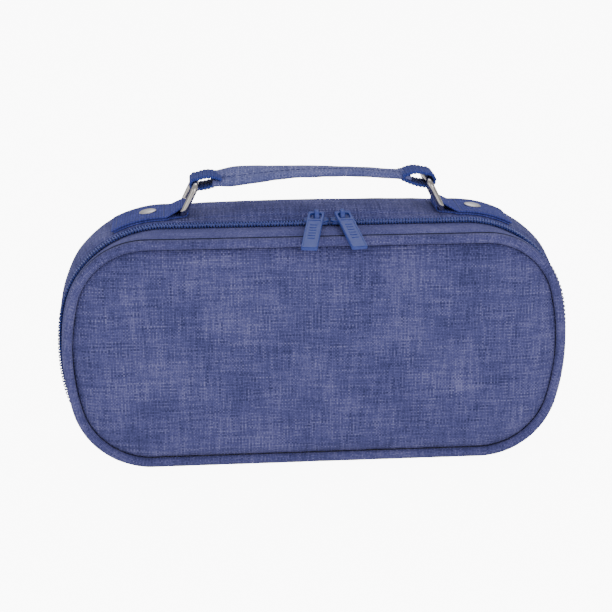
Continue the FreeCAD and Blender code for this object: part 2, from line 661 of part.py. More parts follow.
def cover_pocket():
    """A flat mesh pocket on the cover's lining, open along its top edge."""
    lining_y = size("-panel_face_y + fabric_thickness + foam_thickness + lining_thickness + 3 * layer_gap")
    thickness, inset = size("pocket_thickness"), size("pocket_inset")
    plate = Part.Face(oval_wire("front", inset, lining_y)).extrude(Vector(0, thickness, 0))
    half_width = size("front_half_width")
    below = block(Vector(-half_width, lining_y, 0), Vector(half_width, 0, size("pocket_top_z")))
    pocket = plate.common(below)
    part(feature("cover_pocket", pocket), "cover_pocket")


def finish():
    """Recompute, test every object and write one STEP file for each sub-part."""
    doc.recompute()
    for obj in doc.Objects:
        state = [word for word in obj.State if word in ("Invalid", "Error")]
        if state:
            raise RuntimeError("%s is %s" % (obj.Label, state))
    os.makedirs("parts", exist_ok=True)
    for obj in PARTS:
        shape = obj.Shape
        if shape.isNull() or not shape.isValid() or not shape.Solids:
            raise RuntimeError("%s has no valid solid" % obj.Label)
        shape.exportStep("parts/%s.step" % obj.Label)
        print("%-24s %d solid(s) %10.1f mm3" % (obj.Label, len(shape.Solids), shape.Volume))


case_back()
cover_front()
gussets()
zip_chain()
zip_end_tabs()
SLIDER_X = {"left": "(slider_meet_x - slider_nose_gap / 2 - slider_length / 2)",
            "right": "(slider_meet_x + slider_nose_gap / 2 + slider_length / 2)"}
for side_name, yaw_sign in (("left", -1), ("right", 1)):
    slider("slider_" + side_name, SLIDER_X[side_name])
    pull("pull_" + side_name, SLIDER_X[side_name], yaw_sign)
for side_name, side_sign in (("left", -1), ("right", 1)):
    handle_ring("ring_" + side_name, side_sign)
    handle_tab("handle_tab_" + side_name, side_sign)
rivets()
pierce(["handle_tab_left", "handle_tab_right", "top_gusset", "top_gusset_foam", "top_gusset_lining"])
handle()
pen_band()
cover_pocket()
finish()
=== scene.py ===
import logging
import math
from dataclasses import dataclass
from enum import Enum
from typing import Any, Callable, Optional, Sequence

import bmesh
import bpy
from mathutils import Matrix, Vector, noise


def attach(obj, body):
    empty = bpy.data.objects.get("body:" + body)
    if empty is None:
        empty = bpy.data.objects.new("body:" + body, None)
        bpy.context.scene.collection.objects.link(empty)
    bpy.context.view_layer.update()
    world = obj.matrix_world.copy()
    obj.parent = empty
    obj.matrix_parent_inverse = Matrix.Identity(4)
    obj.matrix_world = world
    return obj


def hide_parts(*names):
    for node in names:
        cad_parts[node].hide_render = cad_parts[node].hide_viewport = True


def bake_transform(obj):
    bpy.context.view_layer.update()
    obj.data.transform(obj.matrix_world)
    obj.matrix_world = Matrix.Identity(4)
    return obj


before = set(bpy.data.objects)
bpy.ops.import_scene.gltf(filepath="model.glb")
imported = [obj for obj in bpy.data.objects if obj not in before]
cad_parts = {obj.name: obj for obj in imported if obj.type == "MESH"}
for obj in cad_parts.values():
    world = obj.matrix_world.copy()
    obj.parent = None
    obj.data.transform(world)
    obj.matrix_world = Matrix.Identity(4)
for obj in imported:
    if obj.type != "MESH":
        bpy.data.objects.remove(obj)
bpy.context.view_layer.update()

# Looks of a soft zipped pencil case.  Sizes are in millimetres until a mesh is finished; +X runs along the
# length, the cover faces -Y and +Z is up.  Ovals are walked clockwise as seen from the cover, by a station
# from 0 to 8.

logging.basicConfig(level=logging.INFO, format="%(name)s %(message)s")
LOG = logging.getLogger("pencil_case")
MM = 0.001
ROUND_EDGE = 0.92           # share of a strap's half thickness that its rounded edges take
PLATE_EDGE_ANGLE = 50       # degrees past which a plate's edge is bevelled
PLATE_EDGE_STEPS = 3
OVAL_SAMPLES = 1201         # points that measure a distance round an oval
HALVINGS = 50               # steps of a search by halving
Row = list[Vector]
Profile = list[tuple[float, float]]


# ------------------------------------------------------------------------------------------- small helpers

def linear(hex_colour: str) -> tuple[float, float, float, float]:
    """Turn an sRGB hex colour into a linear one.

    Args:
        hex_colour: a colour such as "#5a6088".
    Returns:
        Red, green, blue and alpha, linear.
    """
    parts = [int(hex_colour[i:i + 2], 16) / 255 for i in (1, 3, 5)]
    curve = [c / 12.92 if c <= 0.04045 else ((c + 0.055) / 1.055) ** 2.4 for c in parts]
    return curve[0], curve[1], curve[2], 1.0


def ramp(value: float, low: float, high: float) -> float:
    """Smooth step from 0 at low to 1 at high."""
    share = min(1.0, max(0.0, (value - low) / (high - low)))
    return share * share * (3 - 2 * share)


def table(value: float, pairs: Sequence[tuple[float, float]]) -> float:
    """Read a smooth curve through (x, y) pairs at a value.

    Args:
        value: where to read.
        pairs: points in rising order of x.
    Returns:
        The height of the curve there.
    """
    if value <= pairs[0][0]:
        return pairs[0][1]
    for (x0, y0), (x1, y1) in zip(pairs, pairs[1:]):
        if value <= x1:
            return y0 + (y1 - y0) * ramp(value, x0, x1)
    return pairs[-1][1]


def spread(start: float, end: float, count: int) -> list[float]:
    """Count values from start to end, both included."""
    return [start + (end - start) * i / (count - 1) for i in range(count)]


def wrinkle(x: float, y: float, z: float, size: float) -> float:
    """Smooth cloth unevenness from -1 to 1 with folds of about this size."""
    return noise.noise(Vector((x, y, z)) / size)


def add(tree: bpy.types.NodeTree, kind: str, settings: Optional[dict[str, Any]] = None,
        inputs: Optional[dict[Any, Any]] = None) -> bpy.types.Node:
    """Add a node with its settings and its inputs.

    Args:
        tree: the material's node tree.
        kind: the node's type.
        settings: properties of the node.
        inputs: a value or a socket to link for each input.
    Returns:
        The new node.
    """
    node = tree.nodes.new(kind)
    for key, value in (settings or {}).items():
        setattr(node, key, value)
    for key, value in (inputs or {}).items():
        if isinstance(value, bpy.types.NodeSocket):
            tree.links.new(value, node.inputs[key])
        else:
            node.inputs[key].default_value = value
    return node


def calc(tree: bpy.types.NodeTree, operation: str, *values: Any) -> bpy.types.NodeSocket:
    """The result of one arithmetic step on numbers or sockets."""
    node = add(tree, "ShaderNodeMath", {"operation": operation}, dict(enumerate(values)))
    return node.outputs[0]


# ------------------------------------------------------------------------------------------- finishes

class Follows(Enum):
    """What a pattern follows: the piece's own unrolled surface, or its place."""
    SURFACE = "uv"
    PLACE = "object"


class Cloth(Enum):
    """How threads cross."""
    PLAIN = "plain"
    HERRINGBONE = "herringbone"
    RIBBED = "ribbed"
    KNIT = "knit"


def new_material(name: str) -> tuple[bpy.types.Material, bpy.types.NodeTree]:
    """An empty material with its tree.

    Args:
        name: the finish's name.
    Returns:
        The material and its node tree.
    """
    material = bpy.data.materials.new(name)
    material.use_nodes = True
    material.node_tree.nodes.clear()
    return material, material.node_tree


def pattern_space(tree: bpy.types.NodeTree, follows: Follows) -> bpy.types.NodeSocket:
    """Coordinates in millimetres on the surface or in place.

    Args:
        tree: the material's node tree.
        follows: what the pattern follows.
    Returns:
        The coordinates, as a socket.
    """
    if follows is Follows.SURFACE:
        source = add(tree, "ShaderNodeUVMap", {"uv_map": "UVMap"}).outputs["UV"]
    else:
        source = add(tree, "ShaderNodeTexCoord").outputs["Object"]
    return add(tree, "ShaderNodeMapping", {"vector_type": "POINT"},
               {"Vector": source, "Scale": (1 / MM, 1 / MM, 1 / MM)}).outputs["Vector"]


def close_material(tree: bpy.types.NodeTree, colour: Any, height: Any, strength: float, depth_mm: float,
                   roughness: Any, **others: Any) -> None:
    """End a material with a bump and a Principled shader.

    Args:
        tree: the material's node tree.
        colour: base colour, a value or a socket.
        height: bump height, a socket.
        strength: bump strength.
        depth_mm: real height of the bump's full range.
        roughness: a value or a socket.
        others: further shader inputs, with underscores for spaces.
    """
    bump = add(tree, "ShaderNodeBump", None,
               {"Strength": strength, "Distance": depth_mm * MM, "Height": height})
    values = {"Base Color": colour, "Roughness": roughness, "Normal": bump.outputs["Normal"]}
    values.update({key.replace("_", " "): value for key, value in others.items()})
    shader = add(tree, "ShaderNodeBsdfPrincipled", None, values)
    add(tree, "ShaderNodeOutputMaterial", None, {"Surface": shader.outputs["BSDF"]})


@dataclass(frozen=True)
class Woven:
    """Polyester cloth of crossed threads, dyed in the yarn so that each thread has its own shade."""
    name: str
    dark: str
    base: str
    light: str
    pitch: float = 0.75     # thread spacing; real oxford is about 0.45, drawn coarser so that it shows
    cloth: Cloth = Cloth.PLAIN
    turn: float = 0.0       # degrees from the piece's own grain
    slub: float = 16.0      # length of a thick or thin stretch of yarn
    contrast: float = 1.0
    depth: float = 0.35
    roughness: float = 0.82
    sheen: float = 0.08
    follows: Follows = Follows.SURFACE

    def build(self) -> bpy.types.Material:
        """Make the material.

        Returns:
            The finished material.
        """
        material, tree = new_material(self.name)
        place = pattern_space(tree, self.follows)
        turned = add(tree, "ShaderNodeMapping", {"vector_type": "POINT"},
                     {"Vector": place, "Rotation": (0, 0, math.radians(self.turn)),
                      "Scale": (1 / self.pitch, 1 / self.pitch, 1 / self.pitch)}).outputs["Vector"]
        axes = add(tree, "ShaderNodeSeparateXYZ", None, {"Vector": turned})
        u, v = axes.outputs["X"], axes.outputs["Y"]
        if self.cloth is Cloth.HERRINGBONE:
            zigzag = calc(tree, "PINGPONG", v, 2.5)
            u = calc(tree, "ADD", u, zigzag)
        wave_u = calc(tree, "SINE", calc(tree, "MULTIPLY", u, math.pi))
        wave_v = calc(tree, "SINE", calc(tree, "MULTIPLY", v, math.pi))
        if self.cloth is Cloth.RIBBED:
            product = wave_u
        elif self.cloth is Cloth.KNIT:
            product = calc(tree, "MULTIPLY", wave_u, calc(tree, "ABSOLUTE", wave_v))
        else:
            product = calc(tree, "MULTIPLY", wave_u, wave_v)
        height = calc(tree, "POWER", calc(tree, "ABSOLUTE", product), 0.6)
        over = calc(tree, "GREATER_THAN", product, 0.0)

        along = self.pitch / self.slub
        shades = []
        for thread, length, seed in ((u, v, 3.1), (v, u, 9.7)):
            number = calc(tree, "MULTIPLY", calc(tree, "FLOOR", thread), 7.31)
            spot = add(tree, "ShaderNodeCombineXYZ", None,
                       {"X": number, "Y": calc(tree, "MULTIPLY", length, along), "Z": seed})
            shades.append(add(tree, "ShaderNodeTexNoise", {"noise_dimensions": "3D"},
                              {"Vector": spot.outputs["Vector"], "Scale": 1.0, "Detail": 2.0,
                               "Roughness": 0.6}).outputs["Fac"])
        thread_shade = add(tree, "ShaderNodeMix", {"data_type": "FLOAT"},
                           {"Factor": over, "A": shades[0], "B": shades[1]}).outputs["Result"]
        wide = add(tree, "ShaderNodeTexNoise", {"noise_dimensions": "3D"},
                   {"Vector": place, "Scale": 0.035, "Detail": 3.0, "Roughness": 0.5}).outputs["Fac"]
        fleck = add(tree, "ShaderNodeTexNoise", {"noise_dimensions": "3D"},
                    {"Vector": place, "Scale": 0.9, "Detail": 2.0, "Roughness": 0.7}).outputs["Fac"]
        shade = calc(tree, "ADD", calc(tree, "MULTIPLY", thread_shade, 0.62 * self.contrast),
                     calc(tree, "ADD", calc(tree, "MULTIPLY", wide, 0.30),
                          calc(tree, "MULTIPLY", fleck, 0.30 * self.contrast)))
        middle = 0.31 * self.contrast + 0.15 + 0.15 * self.contrast
        ramp_node = add(tree, "ShaderNodeValToRGB", None, {"Fac": shade})
        stops = ramp_node.color_ramp.elements
        stops[0].position, stops[0].color = middle - 0.16, linear(self.dark)
        stops[1].position, stops[1].color = middle + 0.16, linear(self.light)
        centre = stops.new(middle)
        centre.color = linear(self.base)
        # The colour is darkened where the weave is low: painted shade in the hollows between threads.
        groove = add(tree, "ShaderNodeMix", {"data_type": "RGBA", "blend_type": "MULTIPLY"},
                     {"Factor": 0.38, "A": ramp_node.outputs["Color"],
                      "B": add(tree, "ShaderNodeCombineColor", None,
                               {"Red": height, "Green": height, "Blue": height}).outputs["Color"]})
        close_material(tree, groove.outputs["Result"], height, 0.8, self.depth * self.pitch, self.roughness,
                       Sheen_Weight=self.sheen, Sheen_Roughness=0.45, Specular_IOR_Level=0.12)
        return material


@dataclass(frozen=True)
class Metal:
    """Metal wire or pressings: bright plate, or a coloured paint, each with a cloudy unevenness in colour and
    roughness.
    """
    name: str
    base: str
    dark: str
    metallic: float = 1.0
    roughness: float = 0.2
    grain: float = 1.2      # size of the unevenness in the plate or the paint
    depth: float = 0.02
    coat: float = 0.0

    def build(self) -> bpy.types.Material:
        """Make the material.

        Returns:
            The finished material.
        """
        material, tree = new_material(self.name)
        place = pattern_space(tree, Follows.PLACE)
        uneven = add(tree, "ShaderNodeTexNoise", None,
                     {"Vector": place, "Scale": 1 / self.grain, "Detail": 4.0,
                      "Roughness": 0.6}).outputs["Fac"]
        clouds = add(tree, "ShaderNodeTexNoise", None,
                     {"Vector": place, "Scale": 0.25, "Detail": 2.0}).outputs["Fac"]
        mix = add(tree, "ShaderNodeMix", {"data_type": "RGBA"},
                  {"Factor": calc(tree, "MULTIPLY", calc(tree, "SUBTRACT", clouds, 0.42), 2.0),
                   "A": linear(self.base), "B": linear(self.dark)})
        rough = calc(tree, "ADD", self.roughness * 0.7, calc(tree, "MULTIPLY", uneven, self.roughness * 0.6))
        close_material(tree, mix.outputs["Result"], uneven, 0.35, self.depth, rough, Metallic=self.metallic,
                       Coat_Weight=self.coat, Coat_Roughness=0.25)
        return material


@dataclass(frozen=True)
class Smooth:
    """Extruded nylon or soft foam: one colour with a fine unevenness."""
    name: str
    base: str
    light: str
    grain: float
    depth: float
    roughness: float
    follows: Follows = Follows.PLACE

    def build(self) -> bpy.types.Material:
        """Make the material.

        Returns:
            The finished material.
        """
        material, tree = new_material(self.name)
        place = pattern_space(tree, self.follows)
        cells = add(tree, "ShaderNodeTexNoise", None,
                    {"Vector": place, "Scale": 1 / self.grain, "Detail": 3.0,
                     "Roughness": 0.6}).outputs["Fac"]
        mix = add(tree, "ShaderNodeMix", {"data_type": "RGBA"},
                  {"Factor": cells, "A": linear(self.base), "B": linear(self.light)})
        close_material(tree, mix.outputs["Result"], cells, 0.5, self.depth, self.roughness)
        return material


class Palette:
    """Every finish, built once and named for what the real one is; some also carry painted light or shade."""

    def __init__(self) -> None:
        """Build the materials."""
        blue = {"dark": "#3d4072", "base": "#60619e", "light": "#8a88c1"}
        self.panel = Woven("heathered_oxford_polyester", **blue).build()
        # The gussets' cloth is the panels' oxford in slightly bluer colours tuned to how their faces are lit:
        # a lit copy, painted light.
        self.gusset = Woven("heathered_oxford_polyester_gusset_painted_light", dark="#3d4078", base="#5e61a3",
                            light="#8a8acb").build()
        self.piping = Woven("oxford_polyester_over_cord", turn=6.0, slub=9.0, contrast=0.8, **blue).build()
        # The sleeve is the panels' oxford in much lighter colours: a lit copy of that cloth, painted light on
        # the strap.
        self.sleeve = Woven("heathered_oxford_polyester_strap_painted_light", dark="#565b99", base="#7b80c0",
                            light="#aaabe4", slub=12.0).build()
        self.tape = Woven("herringbone_polyester_zip_tape", dark="#494c8b", base="#6668aa", light="#8a89ca",
                          pitch=0.8, cloth=Cloth.HERRINGBONE, contrast=0.7).build()
        self.webbing = Woven("ribbed_polypropylene_webbing", dark="#2a3584", base="#414ea5", light="#606dcc",
                             pitch=1.1, contrast=0.6, roughness=0.6, sheen=0.05).build()
        self.tab = Woven("woven_polypropylene_webbing", dark="#323987", base="#4b53aa", light="#6d72ce",
                         pitch=1.3, contrast=0.6, roughness=0.7, sheen=0.05).build()
        self.lining = Woven("navy_taffeta_lining", dark="#1d2340", base="#2a3156", light="#3a4370",
                            pitch=0.6, contrast=0.4, roughness=0.55, sheen=0.1).build()
        self.binding = Woven("ribbed_polyester_binding", dark="#181d36", base="#232a4c", light="#343c66",
                             pitch=0.9, cloth=Cloth.RIBBED, contrast=0.5).build()
        self.elastic = Woven("woven_elastic", dark="#15182a", base="#20243c", light="#343a58",
                             pitch=1.0, cloth=Cloth.RIBBED, contrast=0.5).build()
        self.mesh = Woven("knitted_polyester_mesh", dark="#12152a", base="#23294a", light="#3c4470",
                          pitch=1.6, cloth=Cloth.KNIT, contrast=0.5, depth=0.6).build()
        self.foam = Smooth("closed_cell_foam", "#cfcfc9", "#deded8", 0.8, 0.15, 0.9).build()
        self.coil = Smooth("nylon_monofilament_coil", "#303b83", "#5e6dc2", 1.5, 0.05, 0.32).build()
        self.thread = Smooth("polyester_sewing_thread", "#394077", "#565c9d", 0.5, 0.1, 0.6).build()
        # A near-black thread for the crease beside the cover's piping: a seam thread that also paints the
        # crease's shadow.
        self.seam = Smooth("near_black_thread_painting_crease_shadow", "#0e1330", "#1a2148", 0.5, 0.1, 0.8).build()
        self.paint = Metal("painted_zinc_alloy", "#38499c", "#2f3f93", metallic=0.0, roughness=0.5,
                           coat=0.08).build()
        self.nickel = Metal("nickel_plated_steel_wire", "#cbc5c0", "#a39c98", roughness=0.16).build()
        self.rivet = Metal("nickel_plated_brass_rivet", "#dcd8dc", "#c4c0c6", roughness=0.42,
                           grain=0.6).build()


# ------------------------------------------------------------------------------------------- mesh helpers

class Maker:
    """Turns bmeshes into pieces that ride on the frame."""

    def __init__(self) -> None:
        """Start with no pieces."""
        self.pieces: list[bpy.types.Object] = []

    def place(self, name: str, mesh: bmesh.types.BMesh, material: bpy.types.Material, slot: str,
              body: Optional[str] = None, nodes: Sequence[str] = (), padded: Optional[float] = None
              ) -> bpy.types.Object:
        """Make an object from a finished bmesh in millimetres.

        Args:
            name: the piece's name.
            mesh: its shape, which is freed.
            material: its finish.
            slot: the record's material slot; not used.
            body: the CAD body that it rides on, or None to leave it on no body.
            nodes: CAD nodes that it stands for.
            padded: how full a stuffed piece is; not used.
        Returns:
            The object.
        """
        bmesh.ops.transform(mesh, matrix=Matrix.Scale(MM, 4), verts=mesh.verts)
        data = bpy.data.meshes.new(name)
        mesh.to_mesh(data)
        mesh.free()
        data.materials.append(material)
        piece = bpy.data.objects.new(name, data)
        bpy.context.scene.collection.objects.link(piece)
        if body:
            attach(piece, body)
        if nodes:
            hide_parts(*nodes)
        self.pieces.append(piece)
        LOG.info("%-26s %6d faces on %s", name, len(data.polygons), body or "two bodies")
        return piece


def surface(rows: Sequence[Row], wrap_rows: bool = False, wrap_points: bool = False, caps: bool = False,
            flat_uv: bool = False) -> bmesh.types.BMesh:
    """Bend a grid to rows of points, with its UV map in real lengths.

    Args:
        rows: stations of equally many points, in millimetres.
        wrap_rows: the last station joins the first.
        wrap_points: the last point of each station joins its first.
        caps: close the two open ends.
        flat_uv: map by x and z, for a panel that is cut from flat cloth.
    Returns:
        The bmesh, in millimetres, with its faces outwards.
    """
    grid = [list(row) + ([row[0]] if wrap_points else []) for row in rows]
    if wrap_rows:
        grid.append(grid[0])
    tall, wide = len(grid) - 1, len(grid[0]) - 1
    along, across = [0.0], [0.0]
    middle = wide // 4
    for j in range(tall):
        along.append(along[-1] + (grid[j + 1][middle] - grid[j][middle]).length)
    for i in range(wide):
        across.append(across[-1] + (grid[tall // 2][i + 1] - grid[tall // 2][i]).length)
    mesh = bmesh.new()
    bmesh.ops.create_grid(mesh, x_segments=wide, y_segments=tall, size=1.0)
    spots = {}
    for vert in mesh.verts:
        i, j = round((vert.co.x + 1) / 2 * wide), round((vert.co.y + 1) / 2 * tall)
        spots[vert.index] = (i, j)
        vert.co = grid[j][i]
    layer = mesh.loops.layers.uv.new("UVMap")
    for face in mesh.faces:
        face.smooth = True
        for loop in face.loops:
            i, j = spots[loop.vert.index]
            point = grid[j][i]
            spot = (point.x, point.z) if flat_uv else (along[j], across[i])
            loop[layer].uv = Vector(spot) * MM
    bmesh.ops.remove_doubles(mesh, verts=mesh.verts, dist=1e-4)
    if caps:
        rim = [edge for edge in mesh.edges if edge.is_boundary]
        for edge in rim:
            edge.smooth = False
        bmesh.ops.holes_fill(mesh, edges=rim, sides=0)
    bmesh.ops.recalc_face_normals(mesh, faces=mesh.faces)
    return mesh


def merged(parts: Sequence[bmesh.types.BMesh]) -> bmesh.types.BMesh:
    """Put several bmeshes in one, and free them.

    Args:
        parts: the bmeshes to put together.
    Returns:
        One bmesh with all of them.
    """
    whole = bmesh.new()
    scratch = bpy.data.meshes.new("scratch")
    for part in parts:
        part.to_mesh(scratch)
        part.free()
        whole.from_mesh(scratch)
        scratch.clear_geometry()
    bpy.data.meshes.remove(scratch)
    return whole


def moved(mesh: bmesh.types.BMesh, matrix: Matrix) -> bmesh.types.BMesh:
    """Turn and move a whole bmesh."""
    bmesh.ops.transform(mesh, matrix=matrix, verts=mesh.verts)
    return mesh


def add_uv(mesh: bmesh.types.BMesh) -> bmesh.types.BMesh:
    """Map a small part by its x and y, so that every mesh has the same map.

    Args:
        mesh: the part, in millimetres.
    Returns:
        The same bmesh.
    """
    layer = mesh.loops.layers.uv.get("UVMap") or mesh.loops.layers.uv.new("UVMap")
    for face in mesh.faces:
        for loop in face.loops:
            loop[layer].uv = (loop.vert.co.x * MM, loop.vert.co.y * MM)
    return mesh


def plate(outline: Sequence[tuple[float, float]], low: float, high: float, bevel: float,
          hole: Optional[Sequence[tuple[float, float]]] = None) -> bmesh.types.BMesh:
    """A flat plate with rounded edges, lying in XY, with an optional hole of as many corners.

    Args:
        outline: corners, in order.
        low: height of its underside.
        high: height of its top.
        bevel: radius of the edges.
        hole: corners of a hole, in step with the outline.
    Returns:
        The bmesh.
    """
    mesh = bmesh.new()
    rings = []
    for loop in filter(None, (outline, hole)):
        verts = [mesh.verts.new((x, y, low)) for x, y in loop]
        rings.append([mesh.edges.new((verts[i - 1], verts[i])) for i in range(len(verts))])
    if hole:
        faces = bmesh.ops.bridge_loops(mesh, edges=rings[0] + rings[1])["faces"]
    else:
        faces = bmesh.ops.contextual_create(mesh, geom=rings[0])["faces"]
    lifted = bmesh.ops.extrude_face_region(mesh, geom=faces)["geom"]
    bmesh.ops.translate(mesh, vec=(0, 0, high - low),
                        verts=[item for item in lifted if isinstance(item, bmesh.types.BMVert)])
    bmesh.ops.recalc_face_normals(mesh, faces=mesh.faces)
    limit = math.radians(PLATE_EDGE_ANGLE)
    sharp = [edge for edge in mesh.edges if edge.is_manifold and edge.calc_face_angle(0.0) > limit]
    bmesh.ops.bevel(mesh, geom=sharp, offset=bevel, offset_type="OFFSET", segments=PLATE_EDGE_STEPS,
                    profile=0.5, affect="EDGES", clamp_overlap=True, material=-1)
    for face in mesh.faces:
        face.smooth = len(face.verts) <= 4 and face.calc_area() < 4 * (high - low)
    return add_uv(mesh)


def rounded(width: float, height: float, radius: float, centre: tuple[float, float] = (0, 0),
            steps: int = 5) -> list[tuple[float, float]]:
    """Corners of a rectangle with rounded corners, anticlockwise.

    Args:
        width: size in the first direction.
        height: size in the second direction.
        radius: of the corners.
        centre: middle of the rectangle.
        steps: points on each corner.
    Returns:
        The corners' points, in order.
    """
    points = []
    for index, (sx, sy) in enumerate(((1, 1), (-1, 1), (-1, -1), (1, -1))):
        for step in range(steps):
            angle = math.radians(90 * (index + step / (steps - 1)))
            points.append((centre[0] + sx * (width / 2 - radius) + radius * math.cos(angle),
                           centre[1] + sy * (height / 2 - radius) + radius * math.sin(angle)))
    return points


def tube(path: Sequence[Vector], sides: Sequence[Vector], section: Callable[[float], Profile],
         closed: bool = False) -> bmesh.types.BMesh:
    """Sweep a closed section along a path.

    Args:
        path: points in order.
        sides: the section's first axis at each point.
        section: gives the section's points, on the side axis and on the axis normal to it, for a share of
            the path.
        closed: the path is a loop.
    Returns:
        The bmesh.
    """
    rows, count = [], len(path)
    for index, point in enumerate(path):
        ahead = path[(index + 1) % count] if closed or index + 1 < count else point
        behind = path[index - 1] if closed or index else point
        tangent = (ahead - behind).normalized()
        side = (sides[index] - tangent * sides[index].dot(tangent)).normalized()
        up = tangent.cross(side)
        rows.append([point + side * a + up * b for a, b in section(index / max(1, count - 1))])
    return surface(rows, wrap_rows=closed, wrap_points=True, caps=not closed)


def disc_section(radius: float, count: int) -> Profile:
    """A round section."""
    return [(radius * math.cos(2 * math.pi * i / count), radius * math.sin(2 * math.pi * i / count))
            for i in range(count)]


def strap_section(width: float, thickness: float, steps: int = 4) -> Profile:
    """A flat strap's section with rounded edges, the width on the side axis."""
    return rounded(width, thickness, thickness / 2 * ROUND_EDGE, steps=steps)


def stitches(path: Sequence[Vector], outwards: Sequence[Vector], pitch: float = 2.6, length: float = 1.9,
             width: float = 0.45) -> bmesh.types.BMesh:
    """A row of short sewn stitches, each a small pad of thread half sunk in the cloth.

    Args:
        path: points of the seam, in order.
        outwards: direction away from the cloth at each point.
        pitch: distance from stitch to stitch.
        length: length of one stitch.
        width: thread's thickness.
    Returns:
        The bmesh.
    """
    pads = []
    reach, travelled = 0.0, 0.0
    for index in range(len(path) - 1):
        step = path[index + 1] - path[index]
        while travelled <= reach + step.length and step.length > 1e-6:
            spot = path[index] + step * ((travelled - reach) / step.length)
            along = step.normalized()
            out = (outwards[index] - along * outwards[index].dot(along)).normalized()
            pad = bmesh.new()
            bmesh.ops.create_uvsphere(pad, u_segments=6, v_segments=4, radius=1.0)
            for face in pad.faces:
                face.smooth = True
            frame_matrix = Matrix((out, along.cross(out), along)).transposed().to_4x4()
            scale = Matrix.Diagonal((width * 0.7, width, length / 2, 1))
            pads.append(moved(add_uv(pad), Matrix.Translation(spot) @ frame_matrix @ scale))
            travelled += pitch
        reach += step.length
    return merged(pads)


# ------------------------------------------------------------------------------------------- the case's shape

@dataclass(frozen=True)
class Oval:
    """An outline with straight top and bottom runs, corner arcs and flatter side arcs."""
    half_width: float
    half_height: float
    centre_z: float
    corner: float
    side: float

    def inset(self, distance: float) -> "Oval":
        """The oval moved inwards."""
        return Oval(self.half_width - distance, self.half_height - distance, self.centre_z,
                    self.corner - distance, self.side - distance)

    def at(self, station: float) -> tuple[Vector, Vector]:
        """Point and outward direction at a station.

        Args:
            station: 0 to 8 clockwise from the top run's left end, one for each run or arc.
        Returns:
            The point at y 0 and the outward unit vector.
        """
        corner_z = self.half_height - self.corner
        side_x = self.half_width - self.side
        corner_x = side_x + math.sqrt((self.side - self.corner) ** 2 - corner_z ** 2)
        tilt = math.atan2(corner_z, corner_x - side_x)
        run, share = math.floor(station) % 8, station % 1
        if run in (0, 4):
            sign = 1 if run == 0 else -1
            return (Vector((sign * (2 * share - 1) * corner_x, 0, self.centre_z + sign * self.half_height)),
                    Vector((0, 0, sign)))
        half, whole = math.pi / 2, math.pi
        start, end, x, z, radius = {
            1: (half, tilt, corner_x, corner_z, self.corner), 2: (tilt, -tilt, side_x, 0, self.side),
            3: (-tilt, -half, corner_x, -corner_z, self.corner),
            5: (-half, tilt - whole, -corner_x, -corner_z, self.corner),
            6: (tilt - whole, -whole - tilt, -side_x, 0, self.side),
            7: (-whole - tilt, -3 * half, -corner_x, corner_z, self.corner)}[run]
        angle = start + (end - start) * share
        out = Vector((math.cos(angle), 0, math.sin(angle)))
        return Vector((x, 0, self.centre_z + z)) + out * radius, out

    def even(self, start: float, end: float, count: int) -> list[float]:
        """Count stations from start to end at equal distances round the oval.

        Args:
            start: first station.
            end: last station.
            count: how many stations.
        Returns:
            The stations.
        """
        fine = spread(start, end, OVAL_SAMPLES)
        reach = [0.0]
        for a, b in zip(fine, fine[1:]):
            reach.append(reach[-1] + (self.at(b)[0] - self.at(a)[0]).length)
        result, index = [], 0
        for target in spread(0, reach[-1], count):
            while index < OVAL_SAMPLES - 2 and reach[index + 1] < target:
                index += 1
            gap = max(1e-9, reach[index + 1] - reach[index])
            result.append(fine[index] + (fine[index + 1] - fine[index]) * (target - reach[index]) / gap)
        return result

    def length(self, start: float, end: float) -> float:
        """Distance round the oval between two stations."""
        points = [self.at(station)[0] for station in spread(start, end, OVAL_SAMPLES)]
        return sum((b - a).length for a, b in zip(points, points[1:]))

    def station_at(self, height: float) -> float:
        """Station of the right side at this height above the table.

        Args:
            height: distance above the table.
        Returns:
            The station.
        """
        low, high = 1.0, 4.0
        for _ in range(HALVINGS):
            middle = (low + high) / 2
            low, high = (middle, high) if self.at(middle)[0].z > height else (low, middle)
        return low


BELLY = Oval(115.3, 56.1, 56.1, 48.0, 100.0)
FRONT = Oval(112.5, 53.0, 55.9, 36.0, 104.0)
CHAIN_Y = -13.0             # middle of the zip's teeth
SEAM_Y = -25.05             # where the cloth meets the cover's piping
TAPE_FLAT_Y = -16.2         # from here back the cover's tape lies flat under its teeth
SEAM_INSET = 0.4            # the bottom gusset's edge below the outside of the cover's piping
TAPE_INSET = 1.7            # the tapes' face below the case's outside
TEETH_GAP = 0.5             # from the chain's middle to the edge of a tape
BACK_SEAM_Y = 25.25
ZIP_END_Z = 16.0
FAR_AWAY = -100.0           # a depth in front of everything, for a band that does not lean
ZIP_STOP = BELLY.station_at(ZIP_END_Z + 0.2)
ZIP_START = 1 - ZIP_STOP
LOW_END = BELLY.station_at(ZIP_END_Z)

# How far the top gusset swells at a distance from the middle: flat under the handle's tabs, and full behind
# them.
CROWN_ENDS = [(96, 1.9), (104, 2.1), (112, 1.0), (115.3, 0.4)]
CROWN_FRONT = [(0, 4.2), (28, 4.0), (44, 2.7), (54, 1.2), (61, 0.1), (90, 0.1)] + CROWN_ENDS
CROWN_BACK = [(0, 4.2), (28, 4.0), (46, 3.4), (60, 2.0), (88, 1.6)] + CROWN_ENDS


def on(oval: Oval, station: float, y: float, out: float = 0.0) -> Vector:
    """A point at a depth on an oval, moved outwards."""
    point, direction = oval.at(station)
    return Vector((point.x, y, point.z)) + direction * out


